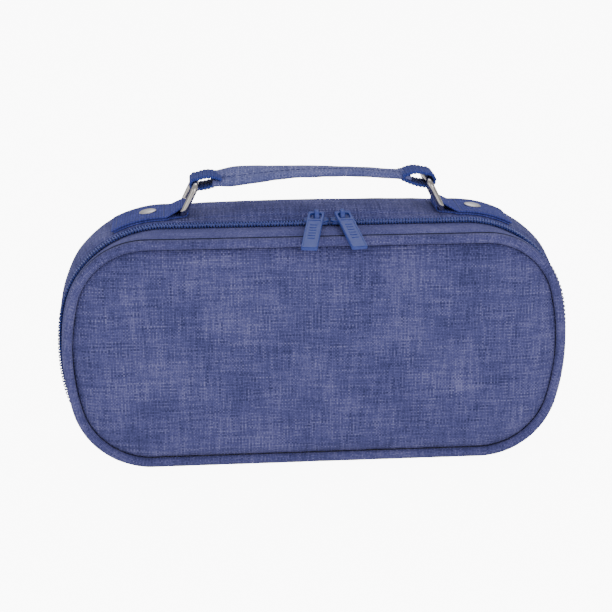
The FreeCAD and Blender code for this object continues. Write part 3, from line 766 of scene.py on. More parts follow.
def slope(front: Oval, front_y: float, back: Oval, back_y: float) -> Callable[[float, float, float], Vector]:
    """A band that leans from one oval to another.

    Args:
        front: oval at the front depth.
        front_y: that depth.
        back: oval at the back depth and beyond.
        back_y: that depth.
    Returns:
        A function of station, depth and outward distance.
    """
    def point(station: float, y: float, out: float) -> Vector:
        """Point on the band.

        Args:
            station: where along the ovals.
            y: depth.
            out: outward distance.
        Returns:
            The point.
        """
        share = min(1.0, max(0.0, (y - front_y) / (back_y - front_y)))
        base = front.at(station)[0].lerp(back.at(station)[0], share)
        return Vector((base.x, y, base.z)) + back.at(station)[1] * out
    return point


def band(stations: Sequence[float], depths: Sequence[float], point: Callable[[float, float, float], Vector],
         outer: Callable[[float, float], float], thickness: float, fold: bool = False,
         closed: bool = False) -> bmesh.types.BMesh:
    """A band of cloth with thickness round an oval.

    Args:
        stations: where along the oval.
        depths: y values from front to back.
        point: place for a station, a depth and an outward distance.
        outer: outward distance of the outside for a station and a depth.
        thickness: of the cloth.
        fold: the front edge is rolled over.
        closed: the band runs all round.
    Returns:
        The bmesh.
    """
    rows = []
    roll = thickness / 2
    for station in stations:
        row = []
        if fold:
            edge = outer(station, depths[0] + roll) - roll
            row += [point(station, depths[0] + roll - roll * math.cos(angle), edge + roll * math.sin(angle))
                    for angle in spread(-1.2, 1.2, 5)]
            inner_depths = [depths[0] + roll] + [y for y in depths if y > depths[0] + thickness]
        else:
            inner_depths = list(depths)
        row += [point(station, y, outer(station, y)) for y in inner_depths]
        row += [point(station, y, outer(station, y) - thickness) for y in reversed(inner_depths)]
        rows.append(row)
    return surface(rows, wrap_rows=closed, wrap_points=True, caps=not closed)


# ------------------------------------------------------------------------------------------- sub-assemblies

@dataclass
class PaddedPanel:
    """A foam-filled panel that swells from its piped seam, with its foam, lining and piping."""
    name: str
    body: str
    oval: Oval              # outside of the piping
    facing: int             # -1 for the cover, 1 for the back
    seed: float
    seam_inset: float = 4.5
    seam_y: float = 26.7
    shoulder: float = 3.5   # how far the cloth swells over the foam's edge
    belly: float = 1.7      # further swell in the middle
    piping_y: float = 27.6
    piping_radius: float = 2.25
    lining_y: float = 24.6
    lining_cloth: float = 0.4

    def swell(self, share: float, edge_distance: float, x: float, z: float) -> float:
        """Depth of the cloth's outside from the middle plane.

        Args:
            share: 0 in the middle to 1 at the seam.
            edge_distance: distance from the seam.
            x: place along the length.
            z: height.
        Returns:
            Absolute y.
        """
        rise = self.shoulder * (1 - (1 - min(1.0, edge_distance / 8.0)) ** 2.8)
        crown = self.belly * (1 - share ** 2.2)
        pucker = 0.22 * math.exp(-edge_distance / 4.5) * wrinkle(x, self.seed, z, 5.0)
        soft = 0.55 * ramp(edge_distance, 1.0, 14.0) * wrinkle(x, self.seed + 40, z, 34.0)
        return self.seam_y + rise + crown + pucker + soft

    def panel(self, shares: Sequence[float], stations: Sequence[float], thickness: float, lift: float,
              back_y: Optional[float], inset: float) -> bmesh.types.BMesh:
        """Rings of the outline, shrunk towards the middle, closed by a back.

        Args:
            shares: sizes of the rings, from 1 at the seam to 0.
            stations: where along the oval.
            thickness: of a cloth that follows the swell, used where back_y is None.
            lift: how far under the cloth's outside this layer starts.
            back_y: depth of a flat back, or None for one that follows the front.
            inset: from the piping's outside.
        Returns:
            The bmesh.
        """
        outline = self.oval.inset(inset)
        centre = Vector((0, 0, outline.centre_z))
        reach = outline.half_height
        front, back = [], []
        for share in shares:
            ring_front, ring_back = [], []
            for station in stations:
                flat = centre.lerp(outline.at(station)[0], share)
                y = self.swell(share, (1 - share) * reach, flat.x, flat.z) - lift
                ring_front.append(Vector((flat.x, self.facing * y, flat.z)))
                rear = back_y if back_y is not None else y - thickness
                ring_back.append(Vector((flat.x, self.facing * rear, flat.z)))
            front.append(ring_front)
            back.append(ring_back)
        rows = list(reversed(front)) + back
        return surface(rows, wrap_points=True, flat_uv=True)

    def build(self, maker: Maker, palette: Palette) -> None:
        """Make the panel's cloth, foam, lining and piping.

        Args:
            maker: takes the finished pieces.
            palette: the finishes.
        """
        stations = self.oval.inset(self.seam_inset).even(0.0, 8.0, 385)[:-1]
        coarse = self.oval.inset(self.seam_inset).even(0.0, 8.0, 129)[:-1]
        near = [1.0, 0.994, 0.985, 0.973, 0.958, 0.94, 0.92, 0.895, 0.865, 0.83, 0.79]
        shares = near + spread(0.74, 0.08, 16) + [0.0]
        cloth = self.panel(shares, stations, 0.8, 0.0, None, self.seam_inset)
        maker.place(self.name + "_panel", cloth, palette.panel, "outer_fabric", self.body,
                    [self.name + "_panel"], padded=0.7)
        few = near[::2] + spread(0.7, 0.1, 7) + [0.0]
        foam = self.panel(few, coarse, 0.0, 0.9, self.lining_y + 0.5, self.seam_inset + 0.4)
        maker.place(self.name + "_foam", foam, palette.foam, "foam", self.body, [self.name + "_foam"])
        self.lining(maker, palette, coarse, few)
        self.piping(maker, palette)

    def lining(self, maker: Maker, palette: Palette, stations: Sequence[float],
               shares: Sequence[float]) -> None:
        """Make the thin lining inside, quilted slightly by the foam.

        Args:
            maker: takes the finished pieces.
            palette: the finishes.
            stations: where along the oval.
            shares: sizes of the rings, from the seam to the middle.
        """
        outline = self.oval.inset(self.seam_inset + 0.4)
        centre = Vector((0, 0, outline.centre_z))
        rows = []
        for depth, order in ((0.0, list(reversed(shares))), (self.lining_cloth, list(shares))):
            for share in order:
                row = []
                for station in stations:
                    flat = centre.lerp(outline.at(station)[0], share)
                    sag = 0.25 * wrinkle(flat.x, self.seed + 80, flat.z, 18.0) * (1 - share ** 6)
                    y = self.lining_y + self.lining_cloth - depth + sag * 0.4
                    row.append(Vector((flat.x, self.facing * y, flat.z)))
                rows.append(row)
        maker.place(self.name + "_lining", surface(rows, wrap_points=True, flat_uv=True), palette.lining,
                    "lining", self.body, [self.name + "_lining"])

    def piping(self, maker: Maker, palette: Palette) -> None:
        """Make the corded piping, a little puckered by its seam, with the join where its ends overlap.

        Args:
            maker: takes the finished pieces.
            palette: the finishes.
        """
        centre_line = self.oval.inset(self.piping_radius)
        stations = centre_line.even(0.0, 8.0, 481)[:-1]
        join = centre_line.even(4.0, 5.0, 101)[47]
        length = centre_line.length(0, 8)
        rows = []
        for index, station in enumerate(stations):
            point, out = centre_line.at(station)
            reach = length * index / len(stations)
            from_join = abs(station - join) * centre_line.length(4, 5)
            bump = 0.22 * math.exp(-(from_join / 2.2) ** 2) - 0.3 * math.exp(-((from_join - 3.0) / 0.5) ** 2)
            row = []
            for side, up in disc_section(1.0, 24):
                uneven = 0.06 * wrinkle(reach, side * 3, self.seed, 2.4)
                radius = self.piping_radius - 0.06 + min(0.0, bump) + uneven
                spot = Vector((point.x, self.facing * self.piping_y + radius * up, point.z))
                row.append(spot + out * radius * side)
            rows.append(row)
        piece = surface(rows, wrap_rows=True, wrap_points=True)
        maker.place(self.name + "_piping", piece, palette.piping, "piping_fabric", self.body,
                    [self.name + "_piping"])


@dataclass
class Gussets:
    """The deep bands of cloth between the panels, with foam and lining, and the tabs over the zip's ends."""
    front_y: float = -8.5
    cloth: float = 1.6
    foam: float = 1.7
    lining: float = 0.4
    lining_out: float = -3.5    # outside of the lining, from the case's outside
    bottom_flat_y: float = -17.0
    edge_stitch: float = 2.6    # from the folded edge to its row of stitches
    tab_depths: tuple[float, float] = (-18.5, -7.5)
    tab_length: float = 9.0

    def crown(self, station: float, y: float) -> float:
        """How far the top gusset's cloth stands out over its sewn shape.

        Args:
            station: where along the oval.
            y: depth.
        Returns:
            The outward distance.
        """
        point = BELLY.at(station)[0]
        x = abs(point.x)
        if point.z < BELLY.centre_z:
            height = 0.5 * ramp(point.z, 16.0, 50.0)
            height_back = height
        else:
            height, height_back = table(x, CROWN_FRONT), table(x, CROWN_BACK)
        share = ramp(y, 16.0, 21.0)
        level = height * (1 - share) + height_back * share
        across = min(1.0, max(0.0, (y - self.front_y - 1.0) / (BACK_SEAM_Y - self.front_y - 1.0)))
        profile = math.sin(math.pi * across ** 0.85) ** 0.75 if 0 < across < 1 else 0.0
        free = 1 - ramp(x, 56, 62) * (1 - ramp(x, 89, 93)) * (1 - share) if point.z > 60 else 1.0
        soft = 0.35 * profile * free * wrinkle(point.x, y, point.z, 22.0)
        groove = -0.28 * math.exp(-((y - self.front_y - self.edge_stitch) / 0.45) ** 2)
        return level * profile + soft + groove

    def build(self, maker: Maker, palette: Palette) -> None:
        """Make every gusset piece.

        Args:
            maker: takes the finished pieces.
            palette: the finishes.
        """
        straight = slope(BELLY, FAR_AWAY, BELLY, FAR_AWAY + 1)
        top = BELLY.even(-LOW_END + 1, LOW_END, 420)
        depths = [-8.5, -7.7, -6.9, -6.5, -6.2, -5.9, -5.6, -5.3, -4.8, -3.6] + spread(-2.0, 24.2, 17)
        depths += [24.8, BACK_SEAM_Y]
        cloth = band(top, depths, straight, self.crown, self.cloth, fold=True)
        maker.place("top_gusset", cloth, palette.gusset, "outer_fabric", "case", ["top_gusset"], padded=0.5)
        seam = [on(BELLY, station, self.front_y + self.edge_stitch, -0.24) for station in top]
        maker.place("gusset_edge_stitches", stitches(seam, [BELLY.at(s)[1] for s in top]), palette.thread,
                    "outer_fabric", "case")
        self.bottom(maker, palette)
        upper, lower = BELLY.even(-LOW_END + 1, LOW_END, 200), BELLY.even(LOW_END, 9 - LOW_END, 120)
        foam = (-self.cloth - 0.1, self.foam, BACK_SEAM_Y, palette.foam, "foam")
        lining = (self.lining_out, self.lining, 24.5, palette.lining, "lining")
        inner = [("top_gusset_foam", upper, -2.0, foam),
                 ("bottom_gusset_foam", lower, self.bottom_flat_y, foam),
                 ("top_gusset_lining", upper, -7.0, lining),
                 ("bottom_gusset_lining", lower, self.bottom_flat_y, lining)]
        for name, stations, front_y, (out, thick, back_y, finish, slot) in inner:

            def outer(station: float, y: float, out: float = out, slot: str = slot) -> float:
                """Outside of the layer, slightly slack if it is lining.

                Args:
                    station: where along the oval.
                    y: depth.
                    out: outward distance of the layer.
                    slot: the layer's material slot.
                Returns:
                    The outward distance.
                """
                slack = 0.18 * (wrinkle(station * 60, y, 5.0, 14.0) - 1) if slot == "lining" else 0.0
                return out + slack
            layer = band(stations, spread(front_y, back_y, 14), straight, outer, thick)
            maker.place(name, layer, finish, slot, "case", [name])
        self.end_tabs(maker, palette)

    def bottom(self, maker: Maker, palette: Palette) -> None:
        """Make the bottom band, whose front edge leans up to the cover's seam.

        Args:
            maker: takes the finished pieces.
            palette: the finishes.
        """
        leaning = slope(FRONT.inset(SEAM_INSET), SEAM_Y, BELLY, self.bottom_flat_y)
        stations = BELLY.even(LOW_END, 9 - LOW_END, 220)

        def outer(station: float, y: float) -> float:
            """Nearly flat on the table, with a little slack at the corners.

            Args:
                station: where along the oval.
                y: depth.
            Returns:
                The outward distance.
            """
            point = BELLY.at(station)[0]
            lift = ramp(point.z, 0.6, 8.0)
            return 0.3 * lift * wrinkle(point.x, y, point.z, 16.0) * math.sin(
                math.pi * min(1, max(0, (y - SEAM_Y) / (BACK_SEAM_Y - SEAM_Y))))
        depths = spread(SEAM_Y, -15.0, 15) + spread(-12.0, BACK_SEAM_Y, 15)
        cloth = band(stations, depths, leaning, outer, self.cloth)
        piece = maker.place("bottom_gusset", cloth, palette.gusset, "outer_fabric", None, ["bottom_gusset"])
        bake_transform(piece)

    def end_tabs(self, maker: Maker, palette: Palette) -> None:
        """Make the folded tab sewn over each end of the zip.

        Args:
            maker: takes the finished pieces.
            palette: the finishes.
        """
        last = BELLY.station_at(ZIP_END_Z - self.tab_length)
        front_y, back_y = self.tab_depths
        straight = slope(BELLY, FAR_AWAY, BELLY, FAR_AWAY + 1)
        for name, mirror in (("zip_end_tab_left", True), ("zip_end_tab_right", False)):
            stations = [9 - s if mirror else s for s in spread(LOW_END, last, 16)]

            def outer(station: float, y: float) -> float:
                """Softly swollen fold."""
                edge = min(y - front_y, back_y - y)
                return 0.95 - 0.35 * math.exp(-edge / 0.5)
            tab = band(stations, spread(front_y, back_y, 23), straight, outer, 0.85)
            lines = []
            for depth in (front_y + 1.5, back_y - 1.5):
                path = [on(BELLY, s, depth, 0.9) for s in stations]
                lines.append(stitches(path, [BELLY.at(s)[1] for s in stations], 2.2, 1.6))
            body = maker.place(name, tab, palette.gusset, "outer_fabric", "case", [name])
            maker.place(body.name + "_stitches", merged(lines), palette.thread, "outer_fabric", "case")


@dataclass
class ZipChain:
    """Both tapes and both rows of coil teeth."""
    pitch: float = 1.27
    tape: float = 0.5
    seam_inset: float = 1.8     # the cover's tape starts low, so that a crease shows beside the piping
    bow: float = 1.3
    # radius of the near-black thread in the cover's crease, which paints the crease's shadow
    thread: float = 0.5
    tooth_length: float = 3.3
    tooth_width: float = 1.06
    tooth_height: float = 1.75

    def build(self, maker: Maker, palette: Palette) -> None:
        """Make the tapes, the teeth and the cover's binding.

        Args:
            maker: takes the finished pieces.
            palette: the finishes.
        """
        stations = BELLY.even(ZIP_START, ZIP_STOP, 400)
        cover_side = slope(FRONT.inset(self.seam_inset), SEAM_Y, BELLY.inset(TAPE_INSET), TAPE_FLAT_Y)

        def cover_outer(station: float, y: float) -> float:
            """The cover's tape rises steeply from the seam and bows out between it and the teeth.

            Args:
                station: where along the oval.
                y: depth.
            Returns:
                The outward distance.
            """
            point = BELLY.at(station)[0]
            rise = 1 - math.exp(-(y - SEAM_Y) / 0.6)
            bow = self.bow + 0.2 * wrinkle(point.x, y, point.z, 12.0)
            return bow * rise * (1 - ramp(y, -21.5, TAPE_FLAT_Y))
        depths = [SEAM_Y, -24.8, -24.5, -24.1] + spread(-23.5, TAPE_FLAT_Y, 9) + [-15.4, CHAIN_Y - TEETH_GAP]
        tape = band(stations, depths, cover_side, cover_outer, self.tape)
        maker.place("zip_tape_cover", tape, palette.tape, "zip_tape", "cover", ["zip_tape_cover"])
        # A near-black thread tube laid in the crease beside the piping: seam thread and painted crease
        # shadow.
        crease = [on(FRONT, station, -24.7, -0.72) for station in stations[::2]]
        thread = tube(crease, [Vector((0, 1, 0))] * len(crease), lambda share: disc_section(self.thread, 8))
        maker.place("cover_crease_shadow_thread", thread, palette.seam, "zip_tape", "cover")
        flat = slope(BELLY.inset(TAPE_INSET), FAR_AWAY, BELLY.inset(TAPE_INSET), FAR_AWAY + 1)
        tape = band(stations, spread(CHAIN_Y + TEETH_GAP, -2.2, 8), flat, lambda station, y: 0.0, self.tape)
        maker.place("zip_tape_case", tape, palette.tape, "zip_tape", "case", ["zip_tape_case"])
        for body, side, shift in (("cover", -1, 0.0), ("case", 1, 0.5)):
            name = "zip_coil_" + body
            maker.place(name, self.teeth(side, shift), palette.coil, "zip_coil", body, [name])
            if body == "cover":
                line = [on(BELLY, s, CHAIN_Y - 3.25, -0.15) for s in stations]
                sewing = stitches(line, [BELLY.at(s)[1] for s in stations], 2.0, 1.5, 0.4)
                maker.place("zip_sewing_cover", sewing, palette.thread, "zip_tape", "cover")
        self.binding(maker, palette)

    def teeth(self, side: int, shift: float) -> bmesh.types.BMesh:
        """One row of coil turns whose heads reach just past the middle between the other row's.

        Args:
            side: -1 for the cover's row, 1 for the case's.
            shift: share of the pitch by which the row starts later.
        Returns:
            The bmesh.
        """
        line = BELLY.inset(0.85)
        length = line.length(ZIP_START, ZIP_STOP)
        count = int(length / self.pitch) - 1
        fine = line.even(ZIP_START, ZIP_STOP, 2 * count + 1)
        tooth = bmesh.new()
        bmesh.ops.create_uvsphere(tooth, u_segments=8, v_segments=7, radius=1.0)
        for vert in tooth.verts:
            # Along z the tooth points to the middle, along x it follows the chain, and y is outwards.
            head = ramp(vert.co.z, -0.2, 0.9)
            vert.co.x *= 1 - 0.38 * head
            vert.co.x += 0.35 * vert.co.z
            vert.co.y = vert.co.y * (1 - 0.22 * head) + 0.12 * (1 - head)
        for face in tooth.faces:
            face.smooth = True
        add_uv(tooth)
        template = bpy.data.meshes.new("tooth")
        tooth.to_mesh(template)
        tooth.free()
        whole = bmesh.new()
        scale = Matrix.Diagonal((self.tooth_width / 2, self.tooth_height / 2, self.tooth_length / 2, 1))
        for number in range(count):
            station = fine[2 * number + (1 if shift else 0)]
            point, out = line.at(station)
            spot = Vector((point.x, CHAIN_Y + side * (self.tooth_length / 2 - 0.42), point.z))
            inwards = Vector((0, -side, 0))
            along = out.cross(inwards)
            turn = Matrix((along, out, inwards)).transposed().to_4x4()
            before = len(whole.verts)
            whole.from_mesh(template)
            whole.verts.ensure_lookup_table()
            bmesh.ops.transform(whole, matrix=Matrix.Translation(spot) @ turn @ scale,
                                verts=whole.verts[before:])
        bpy.data.meshes.remove(template)
        bmesh.ops.recalc_face_normals(whole, faces=whole.faces)
        return whole

    def binding(self, maker: Maker, palette: Palette) -> None:
        """Make the ribbon that binds the cover's seam inside.

        Args:
            maker: takes the finished pieces.
            palette: the finishes.
        """
        oval = FRONT.inset(1.0)
        stations = oval.even(ZIP_START, ZIP_STOP, 260)
        rows = [[on(oval, s, y, out) for y, out in
                 ((-25.0, 0.0), (-23.6, 0.0), (-23.25, -0.35), (-23.25, -2.1), (-23.6, -2.6), (-25.0, -2.6))]
                for s in stations]
        maker.place("cover_binding", surface(rows, wrap_points=True, caps=True), palette.binding, "binding",
                    "cover", ["cover_binding"])


@dataclass
class SliderAndPull:
    """A painted slider with its arch, and the long pull that hangs from it."""
    side: str
    centre_x: float
    sign: int               # -1 for the left one, whose nose points to +X
    plate_z: float = 112.35
    plate_height: float = 0.8
    axis_z: float = 115.75
    hang: float = 20.5
    yaw: float = 12.0
    arch_reach: float = 3.1
    arch_rise: float = 4.0
    pull_width: float = 7.2
    pull_length: float = 28.0
    ribs: int = 6
    rib_pitch: float = 2.0

    def slider(self) -> bmesh.types.BMesh:
        """The two plates, the post, the rims and the arch.

        Returns:
            The bmesh.
        """
        half = [(-5.5, 0.0), (-5.5, 2.0), (-4.9, 2.8), (-3.0, 3.1), (-1.0, 3.45), (0.8, 3.9), (2.4, 3.95),
                (3.9, 3.5), (5.1, 2.5), (5.45, 1.5), (5.1, 0.7), (4.3, 0.0)]
        outline = half + [(x, -y) for x, y in reversed(half[1:-1])]
        top = plate(outline, 0.0, self.plate_height, 0.24)
        low = plate([(x * 0.96, y * 0.96) for x, y in outline], -4.05, -3.25, 0.2)
        post = plate(rounded(3.0, 0.5, 0.2, (0.6, 0)), -3.3, 0.05, 0.08)
        rim = plate(rounded(9.0, 0.7, 0.3, (0.0, 0.0)), -0.9, 0.1, 0.12)
        moved(rim, Matrix.Translation((0, -3.6, 0)))
        if self.sign > 0:
            for part in (top, low, post):
                moved(part, Matrix.Rotation(math.pi, 4, "Z"))
        lip = plate([(x * 0.62 - 0.3, y * 0.62) for x, y in outline], self.plate_height - 0.1,
                    self.plate_height + 0.22, 0.12)
        if self.sign > 0:
            moved(lip, Matrix.Rotation(math.pi, 4, "Z"))
        path, sides = [], []
        for step in range(25):
            angle = math.pi * step / 24
            across = math.copysign(abs(math.cos(angle)) ** 0.75, math.cos(angle))
            path.append(Vector((0, -self.arch_reach * across,
                                self.plate_height - 0.2 + self.arch_rise * math.sin(angle) ** 0.8)))
            sides.append(Vector((1, 0, 0)))
        arch = tube(path, sides, lambda share: strap_section(2.4 - 0.5 * math.sin(math.pi * share), 1.1))
        mesh = merged([top, low, post, rim, lip, arch])
        return moved(mesh, Matrix.Translation((self.centre_x, CHAIN_Y, self.plate_z)))

    def pull(self) -> bmesh.types.BMesh:
        """The pull: a plate with an eye, a raised border and plain ribs.

        Returns:
            The bmesh.
        """
        outer = rounded(self.pull_width, self.pull_length, 0.9, (0, -13.3))
        eye = rounded(5.0, 4.2, 1.0, (0, -2.8))
        parts = [plate(outer, -0.7, 0.62, 0.3, hole=eye)]
        rim_out, rim_in = rounded(6.6, 21.0, 0.6, (0, -16.4)), rounded(5.5, 19.9, 0.4, (0, -16.4))
        parts.append(plate(rim_out, 0.5, 0.84, 0.1, hole=rim_in))
        for index in range(self.ribs):
            rib = rounded(3.2, 0.8, 0.25, (0, -9.6 - self.rib_pitch * index), steps=3)
            parts.append(plate(rib, 0.5, 0.84, 0.1))
        turn = Matrix.Rotation(math.radians(self.sign * self.yaw), 4, "Z") @ Matrix.Rotation(
            math.radians(self.hang), 4, "X")
        return moved(merged(parts), Matrix.Translation((self.centre_x, CHAIN_Y, self.axis_z)) @ turn)

    def build(self, maker: Maker, palette: Palette) -> None:
        """Make both pieces.

        Args:
            maker: takes the finished pieces.
            palette: the finishes.
        """
        letter = self.side[0]
        maker.place("slider_" + self.side, self.slider(), palette.paint, "painted_zinc", "slider_" + letter,
                    ["slider_" + self.side])
        maker.place("pull_" + self.side, self.pull(), palette.paint, "painted_zinc", "pull_" + letter,
                    ["pull_" + self.side])


# The sleeve's width, and its twist in degrees, at a share of its length from the left end.
SLEEVE_WIDTHS = [(0.0, 16.0), (0.12, 16.0), (0.5, 11.4), (0.7, 10.6), (0.9, 11.8), (1.0, 12.8)]
SLEEVE_ROLLS = [(0.0, 9.0), (0.1, 17.0), (0.45, 6.0), (0.7, 0.0)]


@dataclass
class CarryHandle:
    """Wire rings, the folded tabs with their rivets, the webbing and its fabric sleeve."""
    mid_y: float = 4.5
    foot_x: float = 58.0
    foot_z: float = 115.1
    head_x: float = 52.0
    head_z: float = 127.2
    wire: float = 1.4
    rise: float = 3.6
    ring_width: float = 20.0
    tab_end: float = 89.0
    tab_width: float = 25.0
    tab_cloth: float = 0.9
    neck_width: float = 17.2
    rivet_x: float = 73.5
    webbing: float = 1.4
    width: float = 15.0
    sleeve_end: float = 44.5
    arc_radius: float = 377.0
    rib_pitch: float = 1.7

    def ring(self, side: int) -> bmesh.types.BMesh:
        """A rectangle of round wire.

        Args:
            side: -1 for the left ring, 1 for the right.
        Returns:
            The bmesh.
        """
        height = math.hypot(self.foot_x - self.head_x, self.head_z - self.foot_z)
        points = rounded(self.ring_width + 2 * self.wire, height, 2.6, (0, height / 2), steps=9)
        path = []
        for index, (y, z) in enumerate(points):
            after = points[(index + 1) % len(points)]
            pieces = max(1, int(math.hypot(after[0] - y, after[1] - z) / 1.5))
            for step in range(pieces):
                share = step / pieces
                path.append(Vector((0, y + (after[0] - y) * share, z + (after[1] - z) * share)))
        sides = [Vector((1, 0, 0))] * len(path)
        mesh = tube(path, sides, lambda share: disc_section(self.wire, 16), closed=True)
        lean = math.atan2(side * (self.head_x - self.foot_x), self.head_z - self.foot_z)
        return moved(mesh, Matrix.Translation((side * self.foot_x, self.mid_y, self.foot_z))
                     @ Matrix.Rotation(lean, 4, "Y"))

    def belly_at(self, x: float) -> tuple[Vector, Vector]:
        """Point and outward direction of the belly oval's top at this x.

        Args:
            x: place along the length.
        Returns:
            The point at y 0 and the outward unit vector.
        """
        low, high = 0.5, 2.0
        for _ in range(HALVINGS):
            middle = (low + high) / 2
            low, high = (middle, high) if BELLY.at(middle)[0].x < x else (low, middle)
        return BELLY.at(low)

    def tab(self, side: int) -> tuple[bmesh.types.BMesh, bmesh.types.BMesh]:
        """A strip of webbing folded round the ring, both layers sewn and riveted together.

        Args:
            side: -1 for the left tab, 1 for the right.
        Returns:
            The strip and its stitches.
        """
        ply = []
        for x in spread(self.tab_end - 0.6, 63.0, 24):
            point, out = self.belly_at(x)
            ply.append((point + out * 0.58, x))
        radius = self.wire + 0.1 + 0.55
        centre = Vector((self.foot_x, 0, self.foot_z))
        for angle in spread(math.radians(268), math.radians(70), 22):
            ply.append((centre + Vector((math.cos(angle), 0, math.sin(angle))) * radius, self.foot_x))
        for x in spread(63.4, self.tab_end, 26):
            point, out = self.belly_at(x)
            rise = 1.52 + 1.6 * (1 - ramp(x, 60.5, 66.5))
            ply.append((point + out * rise, x))
        path = [Vector((point.x, self.mid_y, point.z)) for point, x in ply]
        xs = [x for point, x in ply]
        sides = [Vector((0, 1, 0))] * len(path)

        def section(share: float) -> Profile:
            """Wide on the gusset, narrow at the ring.

            Args:
                share: share of the strip's length.
            Returns:
                The section's points.
            """
            x = xs[min(len(xs) - 1, round(share * (len(xs) - 1)))]
            width = self.neck_width + (self.tab_width - self.neck_width) * ramp(x, 61.5, 66.0)
            return strap_section(width, self.tab_cloth)
        strip = tube(path, sides, section)
        lines = []
        box = [(66.6, -10.6), (87.0, -10.6), (87.0, 10.6), (66.6, 10.6), (66.6, -10.6)]
        for (x0, y0), (x1, y1) in zip(box, box[1:]):
            line, outs = [], []
            for share in spread(0, 1, 12):
                point, out = self.belly_at(x0 + (x1 - x0) * share)
                line.append(Vector((point.x, self.mid_y + y0 + (y1 - y0) * share, point.z)) + out * 1.97)
                outs.append(out)
            lines.append(stitches(line, outs, 2.3, 1.7, 0.42))
        thread = merged(lines)
        if side < 0:
            for part in (strip, thread):
                bmesh.ops.scale(part, vec=(-1, 1, 1), verts=part.verts)
                bmesh.ops.reverse_faces(part, faces=part.faces)
        return strip, thread

    def rivets(self) -> bmesh.types.BMesh:
        """Both rivets: a domed cap, a post and a washer inside, spun from half a section.

        Returns:
            The bmesh.
        """
        parts = []
        point, out = self.belly_at(self.rivet_x)
        for side in (-1, 1):
            profile = [(0.0, 0.92), (1.2, 0.9), (2.4, 0.8), (3.2, 0.6), (3.7, 0.34), (3.95, 0.08), (3.8, 0.0),
                       (1.4, 0.0), (1.35, -0.2), (1.35, -5.9), (3.6, -5.9), (3.9, -6.1), (3.8, -6.55),
                       (0.0, -6.7)]
            mesh = bmesh.new()
            verts = [mesh.verts.new((radius, 0, height)) for radius, height in profile]
            edges = [mesh.edges.new(pair) for pair in zip(verts, verts[1:])]
            bmesh.ops.spin(mesh, geom=verts + edges, cent=(0, 0, 0), axis=(0, 0, 1), dvec=(0, 0, 0),
                           angle=2 * math.pi, steps=40, use_merge=True, use_duplicate=False)
            bmesh.ops.remove_doubles(mesh, verts=mesh.verts, dist=1e-3)
            bmesh.ops.recalc_face_normals(mesh, faces=mesh.faces)
            for vert in mesh.verts:
                turn = math.atan2(vert.co.y, vert.co.x)
                if vert.co.z > -1 and vert.co.xy.length > 2.0:
                    uneven = 1 + 0.022 * noise.noise(Vector((math.cos(turn), math.sin(turn), side)) * 2.4)
                    vert.co.x *= uneven
                    vert.co.y *= uneven
            for face in mesh.faces:
                face.smooth = True
            direction = Vector((side * out.x, 0, out.z))
            turn_matrix = direction.to_track_quat("Z", "Y").to_matrix().to_4x4()
            spot = Vector((side * point.x, self.mid_y, point.z)) + direction * 2.02
            parts.append(moved(add_uv(mesh), Matrix.Translation(spot) @ turn_matrix))
        return merged(parts)

    def arc(self, x: float) -> Vector:
        """Point of the strap's centre line."""
        radius = (self.head_x ** 2 + self.rise ** 2) / (2 * self.rise)
        return Vector((x, self.mid_y, self.head_z + self.rise - radius + math.sqrt(radius ** 2 - x ** 2)))

    def webbing_strap(self) -> bmesh.types.BMesh:
        """Ribbed webbing whose ends fold round the rings and back under the sleeve.

        Returns:
            The bmesh.
        """
        parts = []
        for side, gap in ((-1, 0.1), (1, 0.8)):
            radius = self.wire + gap + self.webbing / 2
            centre = Vector((self.head_x, self.mid_y, self.head_z))
            path = []
            inner = self.arc(self.sleeve_end - 4)
            for share in spread(0, 1, 16):
                start = inner + Vector((0, 0, 0.42))
                end = centre + Vector((-0.5, 0, radius))
                path.append(start.lerp(end, share) + Vector((0, 0, 1.3 * math.sin(math.pi * share))))
            stretch = 1.0 if gap < 0.5 else 1.06
            for angle in spread(math.radians(88), math.radians(-80), 44):
                turned = Vector((math.cos(angle) * radius * stretch, 0, math.sin(angle) * radius))
                path.append(centre + turned)
            for share in spread(0, 1, 16)[1:]:
                start = centre + Vector((0.3, 0, -radius))
                end = inner + Vector((0, 0, -0.72))
                path.append(start.lerp(end, share) + Vector((0, 0, -0.7 * math.sin(math.pi * share))))
            fine, reach = [], [0.0]
            for a, b in zip(path, path[1:]):
                reach.append(reach[-1] + (b - a).length)
            index = 0
            for target in spread(0, reach[-1], 230):
                while index < len(path) - 2 and reach[index + 1] < target:
                    index += 1
                fine.append(path[index].lerp(path[index + 1], (target - reach[index])
                                             / max(1e-6, reach[index + 1] - reach[index])))
            total = reach[-1]

            def section(share: float, total: float = total) -> Profile:
                """Ribs across the width.

                Args:
                    share: share of the strap's length.
                    total: that length.
                Returns:
                    The section's points.
                """
                rib = abs(math.sin(math.pi * share * total / self.rib_pitch))
                return strap_section(self.width - 0.6 + 0.4 * rib, self.webbing * (0.62 + 0.56 * rib ** 0.6))
            half = tube(fine, [Vector((0, 1, 0))] * len(fine), section)
            if side < 0:
                bmesh.ops.scale(half, vec=(-1, 1, 1), verts=half.verts)
                bmesh.ops.reverse_faces(half, faces=half.faces)
            parts.append(half)
        core = tube([self.arc(x) for x in spread(-39.5, 39.5, 60)], [Vector((0, 1, 0))] * 60,
                    lambda share: strap_section(7.6, 1.2))
        return merged(parts + [core])

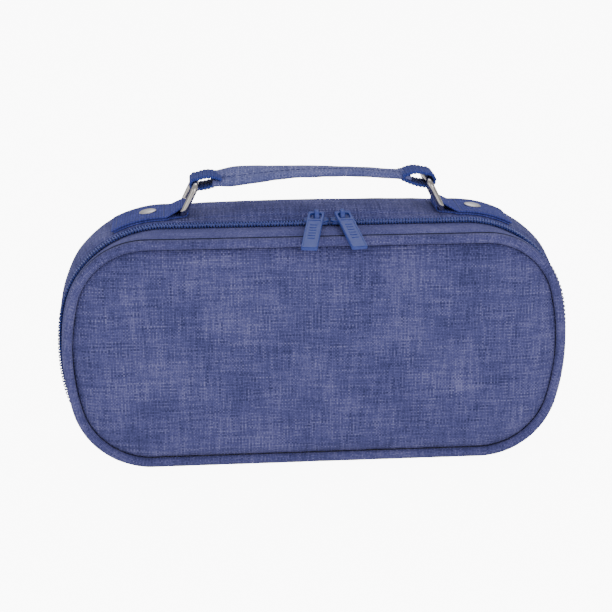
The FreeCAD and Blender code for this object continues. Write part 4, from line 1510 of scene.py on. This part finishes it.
    def sleeve(self) -> tuple[bmesh.types.BMesh, bmesh.types.BMesh]:
        """The fabric sleeve, wide at its ends and folded narrower towards the middle, with its two seams.

        Returns:
            The sleeve and its stitches.
        """
        xs = spread(-self.sleeve_end, self.sleeve_end, 150)
        rows, front_seam, outs = [], [], []
        for x in xs:
            share = (x + self.sleeve_end) / (2 * self.sleeve_end)
            width = table(share, SLEEVE_WIDTHS)
            thick = 3.4 + 0.3 * math.sin(math.pi * share)
            roll = math.radians(table(share, SLEEVE_ROLLS))
            centre = self.arc(x)
            fall = math.asin(-x / self.arc_radius)
            up = Vector((math.sin(fall), 0, math.cos(fall)))
            row = []
            for turn in range(36):
                angle = 2 * math.pi * turn / 36
                a = math.copysign(abs(math.cos(angle)) ** 0.62, math.cos(angle)) * width / 2
                b = math.copysign(abs(math.sin(angle)) ** 0.78, math.sin(angle)) * thick / 2
                fold = 0.34 * math.exp(-((a + width * 0.16) / 0.5) ** 2) * (1 if b > 0 else 0)
                ridge = 0.26 * math.exp(-((a - width * 0.08) / 1.3) ** 2) * (1 if b > 0 else 0)
                soft = 0.16 * wrinkle(x, a * 2.0, b * 2.0 + 7, 6.0)
                b += ridge - fold + soft
                row.append(centre + Vector((0, a * math.cos(roll) - b * math.sin(roll), 0))
                           + up * (b * math.cos(roll) + a * math.sin(roll)))
            rows.append(row)
            front_seam.append(centre + Vector((0, -width * 0.16, 0))
                              + up * (thick / 2 - 0.18 - width * 0.16 * math.sin(roll)))
            outs.append(up)
        mesh = surface(rows, wrap_points=True, caps=True)
        seams = [stitches(front_seam, outs, 2.4, 1.7, 0.34)]
        for x in (-self.sleeve_end + 5.5, self.sleeve_end - 4.5):
            centre = self.arc(x)
            line = [centre + Vector((0, a, 1.62 + 0.02 * a)) for a in spread(-5.6, 5.6, 8)]
            seams.append(stitches(line, [Vector((0, 0, 1))] * 8, 1.7, 1.3, 0.42))
        return mesh, merged(seams)

    def build(self, maker: Maker, palette: Palette) -> None:
        """Make every piece of the handle.

        Args:
            maker: takes the finished pieces.
            palette: the finishes.
        """
        for side, name in ((-1, "left"), (1, "right")):
            maker.place("ring_" + name, self.ring(side), palette.nickel, "nickel_wire", "ring_" + name[0],
                        ["ring_" + name])
            strip, thread = self.tab(side)
            maker.place("handle_tab_" + name, strip, palette.tab, "webbing", "case", ["handle_tab_" + name])
            maker.place("handle_tab_%s_stitches" % name, thread, palette.thread, "webbing", "case")
        maker.place("tab_rivets", self.rivets(), palette.rivet, "nickel_rivet", "case", ["tab_rivets"])
        maker.place("handle_webbing", self.webbing_strap(), palette.webbing, "webbing", "handle",
                    ["handle_webbing"])
        sleeve, seams = self.sleeve()
        maker.place("handle_sleeve", sleeve, palette.sleeve, "outer_fabric", "handle", ["handle_sleeve"],
                    padded=0.5)
        maker.place("handle_sleeve_stitches", seams, palette.thread, "outer_fabric", "handle")


@dataclass
class Inside:
    """The pen band on the back lining and the mesh pocket on the cover's lining."""
    wall_y: float = 24.3
    band_z: float = 56.0
    band_width: float = 22.0
    loop_radius: float = 5.6
    loop_pitch: float = 15.0
    loops: int = 8
    pocket_top: float = 74.0
    pocket_y: float = -24.55

    def pen_band(self) -> tuple[bmesh.types.BMesh, bmesh.types.BMesh]:
        """Elastic that lies on the wall between its open loops.

        Returns:
            The elastic and its stitches.
        """
        start = -self.loop_pitch * (self.loops - 1) / 2
        path = [Vector((start - 9.4, self.wall_y - 0.3, self.band_z))]
        seams = []
        for index in range(self.loops):
            middle = start + index * self.loop_pitch
            for angle in spread(-58, 238, 26):
                turn = math.radians(angle)
                radius = self.loop_radius - 0.3
                path.append(Vector((middle + math.cos(turn) * radius * -1,
                                    self.wall_y - self.loop_radius - math.sin(turn) * radius, self.band_z)))
            if index < self.loops - 1:
                seams.append(middle + self.loop_pitch / 2)
        path.append(Vector((-start + 9.4, self.wall_y - 0.3, self.band_z)))
        sides = [Vector((0, 0, 1))] * len(path)
        strip = tube(path, sides, lambda share: strap_section(self.band_width, 0.6, steps=3))
        lines = []
        for x in [start - 8.4] + seams + [-start + 8.4]:
            line = [Vector((x, self.wall_y - 0.62, self.band_z + z)) for z in spread(-10, 10, 8)]
            lines.append(stitches(line, [Vector((0, -1, 0))] * 8, 2.0, 1.5))
        return strip, merged(lines)

    def pocket(self) -> bmesh.types.BMesh:
        """A slightly slack mesh sheet with a bound top edge.

        Returns:
            The bmesh.
        """
        outline = FRONT.inset(9.0)
        rows = []
        for height in spread(outline.centre_z - outline.half_height + 0.3, self.pocket_top, 40):
            reach = outline.at(outline.station_at(height))[0].x
            bound = 0.25 if height > self.pocket_top - 4 else 0.0
            sag = math.sin(math.pi * min(1, (height - 13) / 70)) * 0.3
            front = [Vector((x, self.pocket_y + 0.05, height)) for x in spread(-reach, reach, 60)]
            back = [Vector((x, self.pocket_y + 0.45 + bound + sag * (1 - (x / reach) ** 2)
                            + 0.1 * wrinkle(x, 3, height, 12.0), height)) for x in spread(reach, -reach, 60)]
            rows.append(front + back)
        return surface(rows, wrap_points=True, caps=True, flat_uv=True)

    def build(self, maker: Maker, palette: Palette) -> None:
        """Make both pieces.

        Args:
            maker: takes the finished pieces.
            palette: the finishes.
        """
        strip, lines = self.pen_band()
        maker.place("pen_band", strip, palette.elastic, "elastic", "case", ["pen_band"])
        maker.place("pen_band_stitches", lines, palette.thread, "elastic", "case")
        maker.place("cover_pocket", self.pocket(), palette.mesh, "mesh", "cover", ["cover_pocket"])


@dataclass
class Studio:
    """Pale floor, soft lights and the camera."""
    azimuth: float = -4.9
    elevation: float = 19.3
    distance: float = 653.0
    focus: tuple[float, float, float] = (0.0, -30.0, 57.5)
    lens: float = 86.5
    shift: tuple[float, float] = (-0.0195, 0.0725)

    def floor(self) -> None:
        """A wide plain floor."""
        mesh = bmesh.new()
        bmesh.ops.create_grid(mesh, x_segments=8, y_segments=8, size=6.0)
        data = bpy.data.meshes.new("floor")
        mesh.to_mesh(data)
        mesh.free()
        material, tree = new_material("matt_white_floor")
        place = pattern_space(tree, Follows.PLACE)
        speck = add(tree, "ShaderNodeTexNoise", None, {"Vector": place, "Scale": 0.02})
        mix = add(tree, "ShaderNodeMix", {"data_type": "RGBA"},
                  {"Factor": speck.outputs["Fac"], "A": linear("#f4f4f4"), "B": linear("#fafafa")})
        seen = add(tree, "ShaderNodeLightPath").outputs["Is Camera Ray"]
        glow = calc(tree, "ADD", 0.25, calc(tree, "MULTIPLY", seen, 9.0))
        close_material(tree, mix.outputs["Result"], speck.outputs["Fac"], 0.05, 0.1, 0.9,
                       Emission_Color=linear("#ffffff"), Emission_Strength=glow)
        data.materials.append(material)
        piece = bpy.data.objects.new("floor", data)
        bpy.context.scene.collection.objects.link(piece)

    def light(self, name: str, place: tuple[float, float, float], size: float, power: float,
              colour: str) -> None:
        """A square soft light aimed at the case.

        Args:
            name: the light's name.
            place: where it hangs, in metres.
            size: its side, in metres.
            power: in watts.
            colour: an sRGB hex colour.
        """
        lamp = bpy.data.lights.new(name, "AREA")
        lamp.shape, lamp.size, lamp.energy = "SQUARE", size, power
        lamp.color = linear(colour)[:3]
        item = bpy.data.objects.new(name, lamp)
        item.location = place
        item.rotation_euler = (Vector((0, 0, 0.06)) - Vector(place)).to_track_quat("-Z", "Y").to_euler()
        bpy.context.scene.collection.objects.link(item)

    def camera(self) -> None:
        """The camera at its angle to the case."""
        a, e = math.radians(self.azimuth), math.radians(self.elevation)
        back = Vector((math.sin(a) * math.cos(e), -math.cos(a) * math.cos(e), math.sin(e)))
        data = bpy.data.cameras.new("camera")
        data.lens, data.sensor_width = self.lens, 36.0
        data.shift_x, data.shift_y = self.shift
        data.clip_start, data.clip_end = 0.05, 30.0
        item = bpy.data.objects.new("camera", data)
        item.location = (Vector(self.focus) + back * self.distance) * MM
        item.rotation_euler = (-back).to_track_quat("-Z", "Y").to_euler()
        bpy.context.scene.collection.objects.link(item)
        bpy.context.scene.camera = item

    def build(self) -> None:
        """Make the floor, the lights, the surroundings and the camera."""
        self.floor()
        self.light("front_key", (0.55, -1.5, 0.75), 1.1, 9.0, "#ffffff")
        self.light("left_fill", (-1.3, -0.9, 0.7), 1.2, 4.5, "#ffffff")
        self.light("top_back", (0.2, 0.9, 1.5), 1.2, 8.0, "#ffffff")
        world = bpy.data.worlds.new("surroundings")
        world.use_nodes = True
        world.node_tree.nodes.clear()
        sky = add(world.node_tree, "ShaderNodeBackground", None,
                  {"Color": linear("#ffffff"), "Strength": 0.53})
        add(world.node_tree, "ShaderNodeOutputWorld", None, {"Surface": sky.outputs["Background"]})
        bpy.context.scene.world = world
        self.camera()


def main() -> None:
    """Build every sub-assembly."""
    palette, maker = Palette(), Maker()
    PaddedPanel("cover", "cover", FRONT, -1, 11.0).build(maker, palette)
    PaddedPanel("back", "case", BELLY.inset(1.2), 1, 29.0).build(maker, palette)
    Gussets().build(maker, palette)
    ZipChain().build(maker, palette)
    SliderAndPull("left", 0.8, -1).build(maker, palette)
    SliderAndPull("right", 12.2, 1).build(maker, palette)
    CarryHandle().build(maker, palette)
    Inside().build(maker, palette)
    Studio().build()
    LOG.info("%d pieces, %d faces", len(maker.pieces), sum(len(p.data.polygons) for p in maker.pieces))


if __name__ == "__main__":
    main()
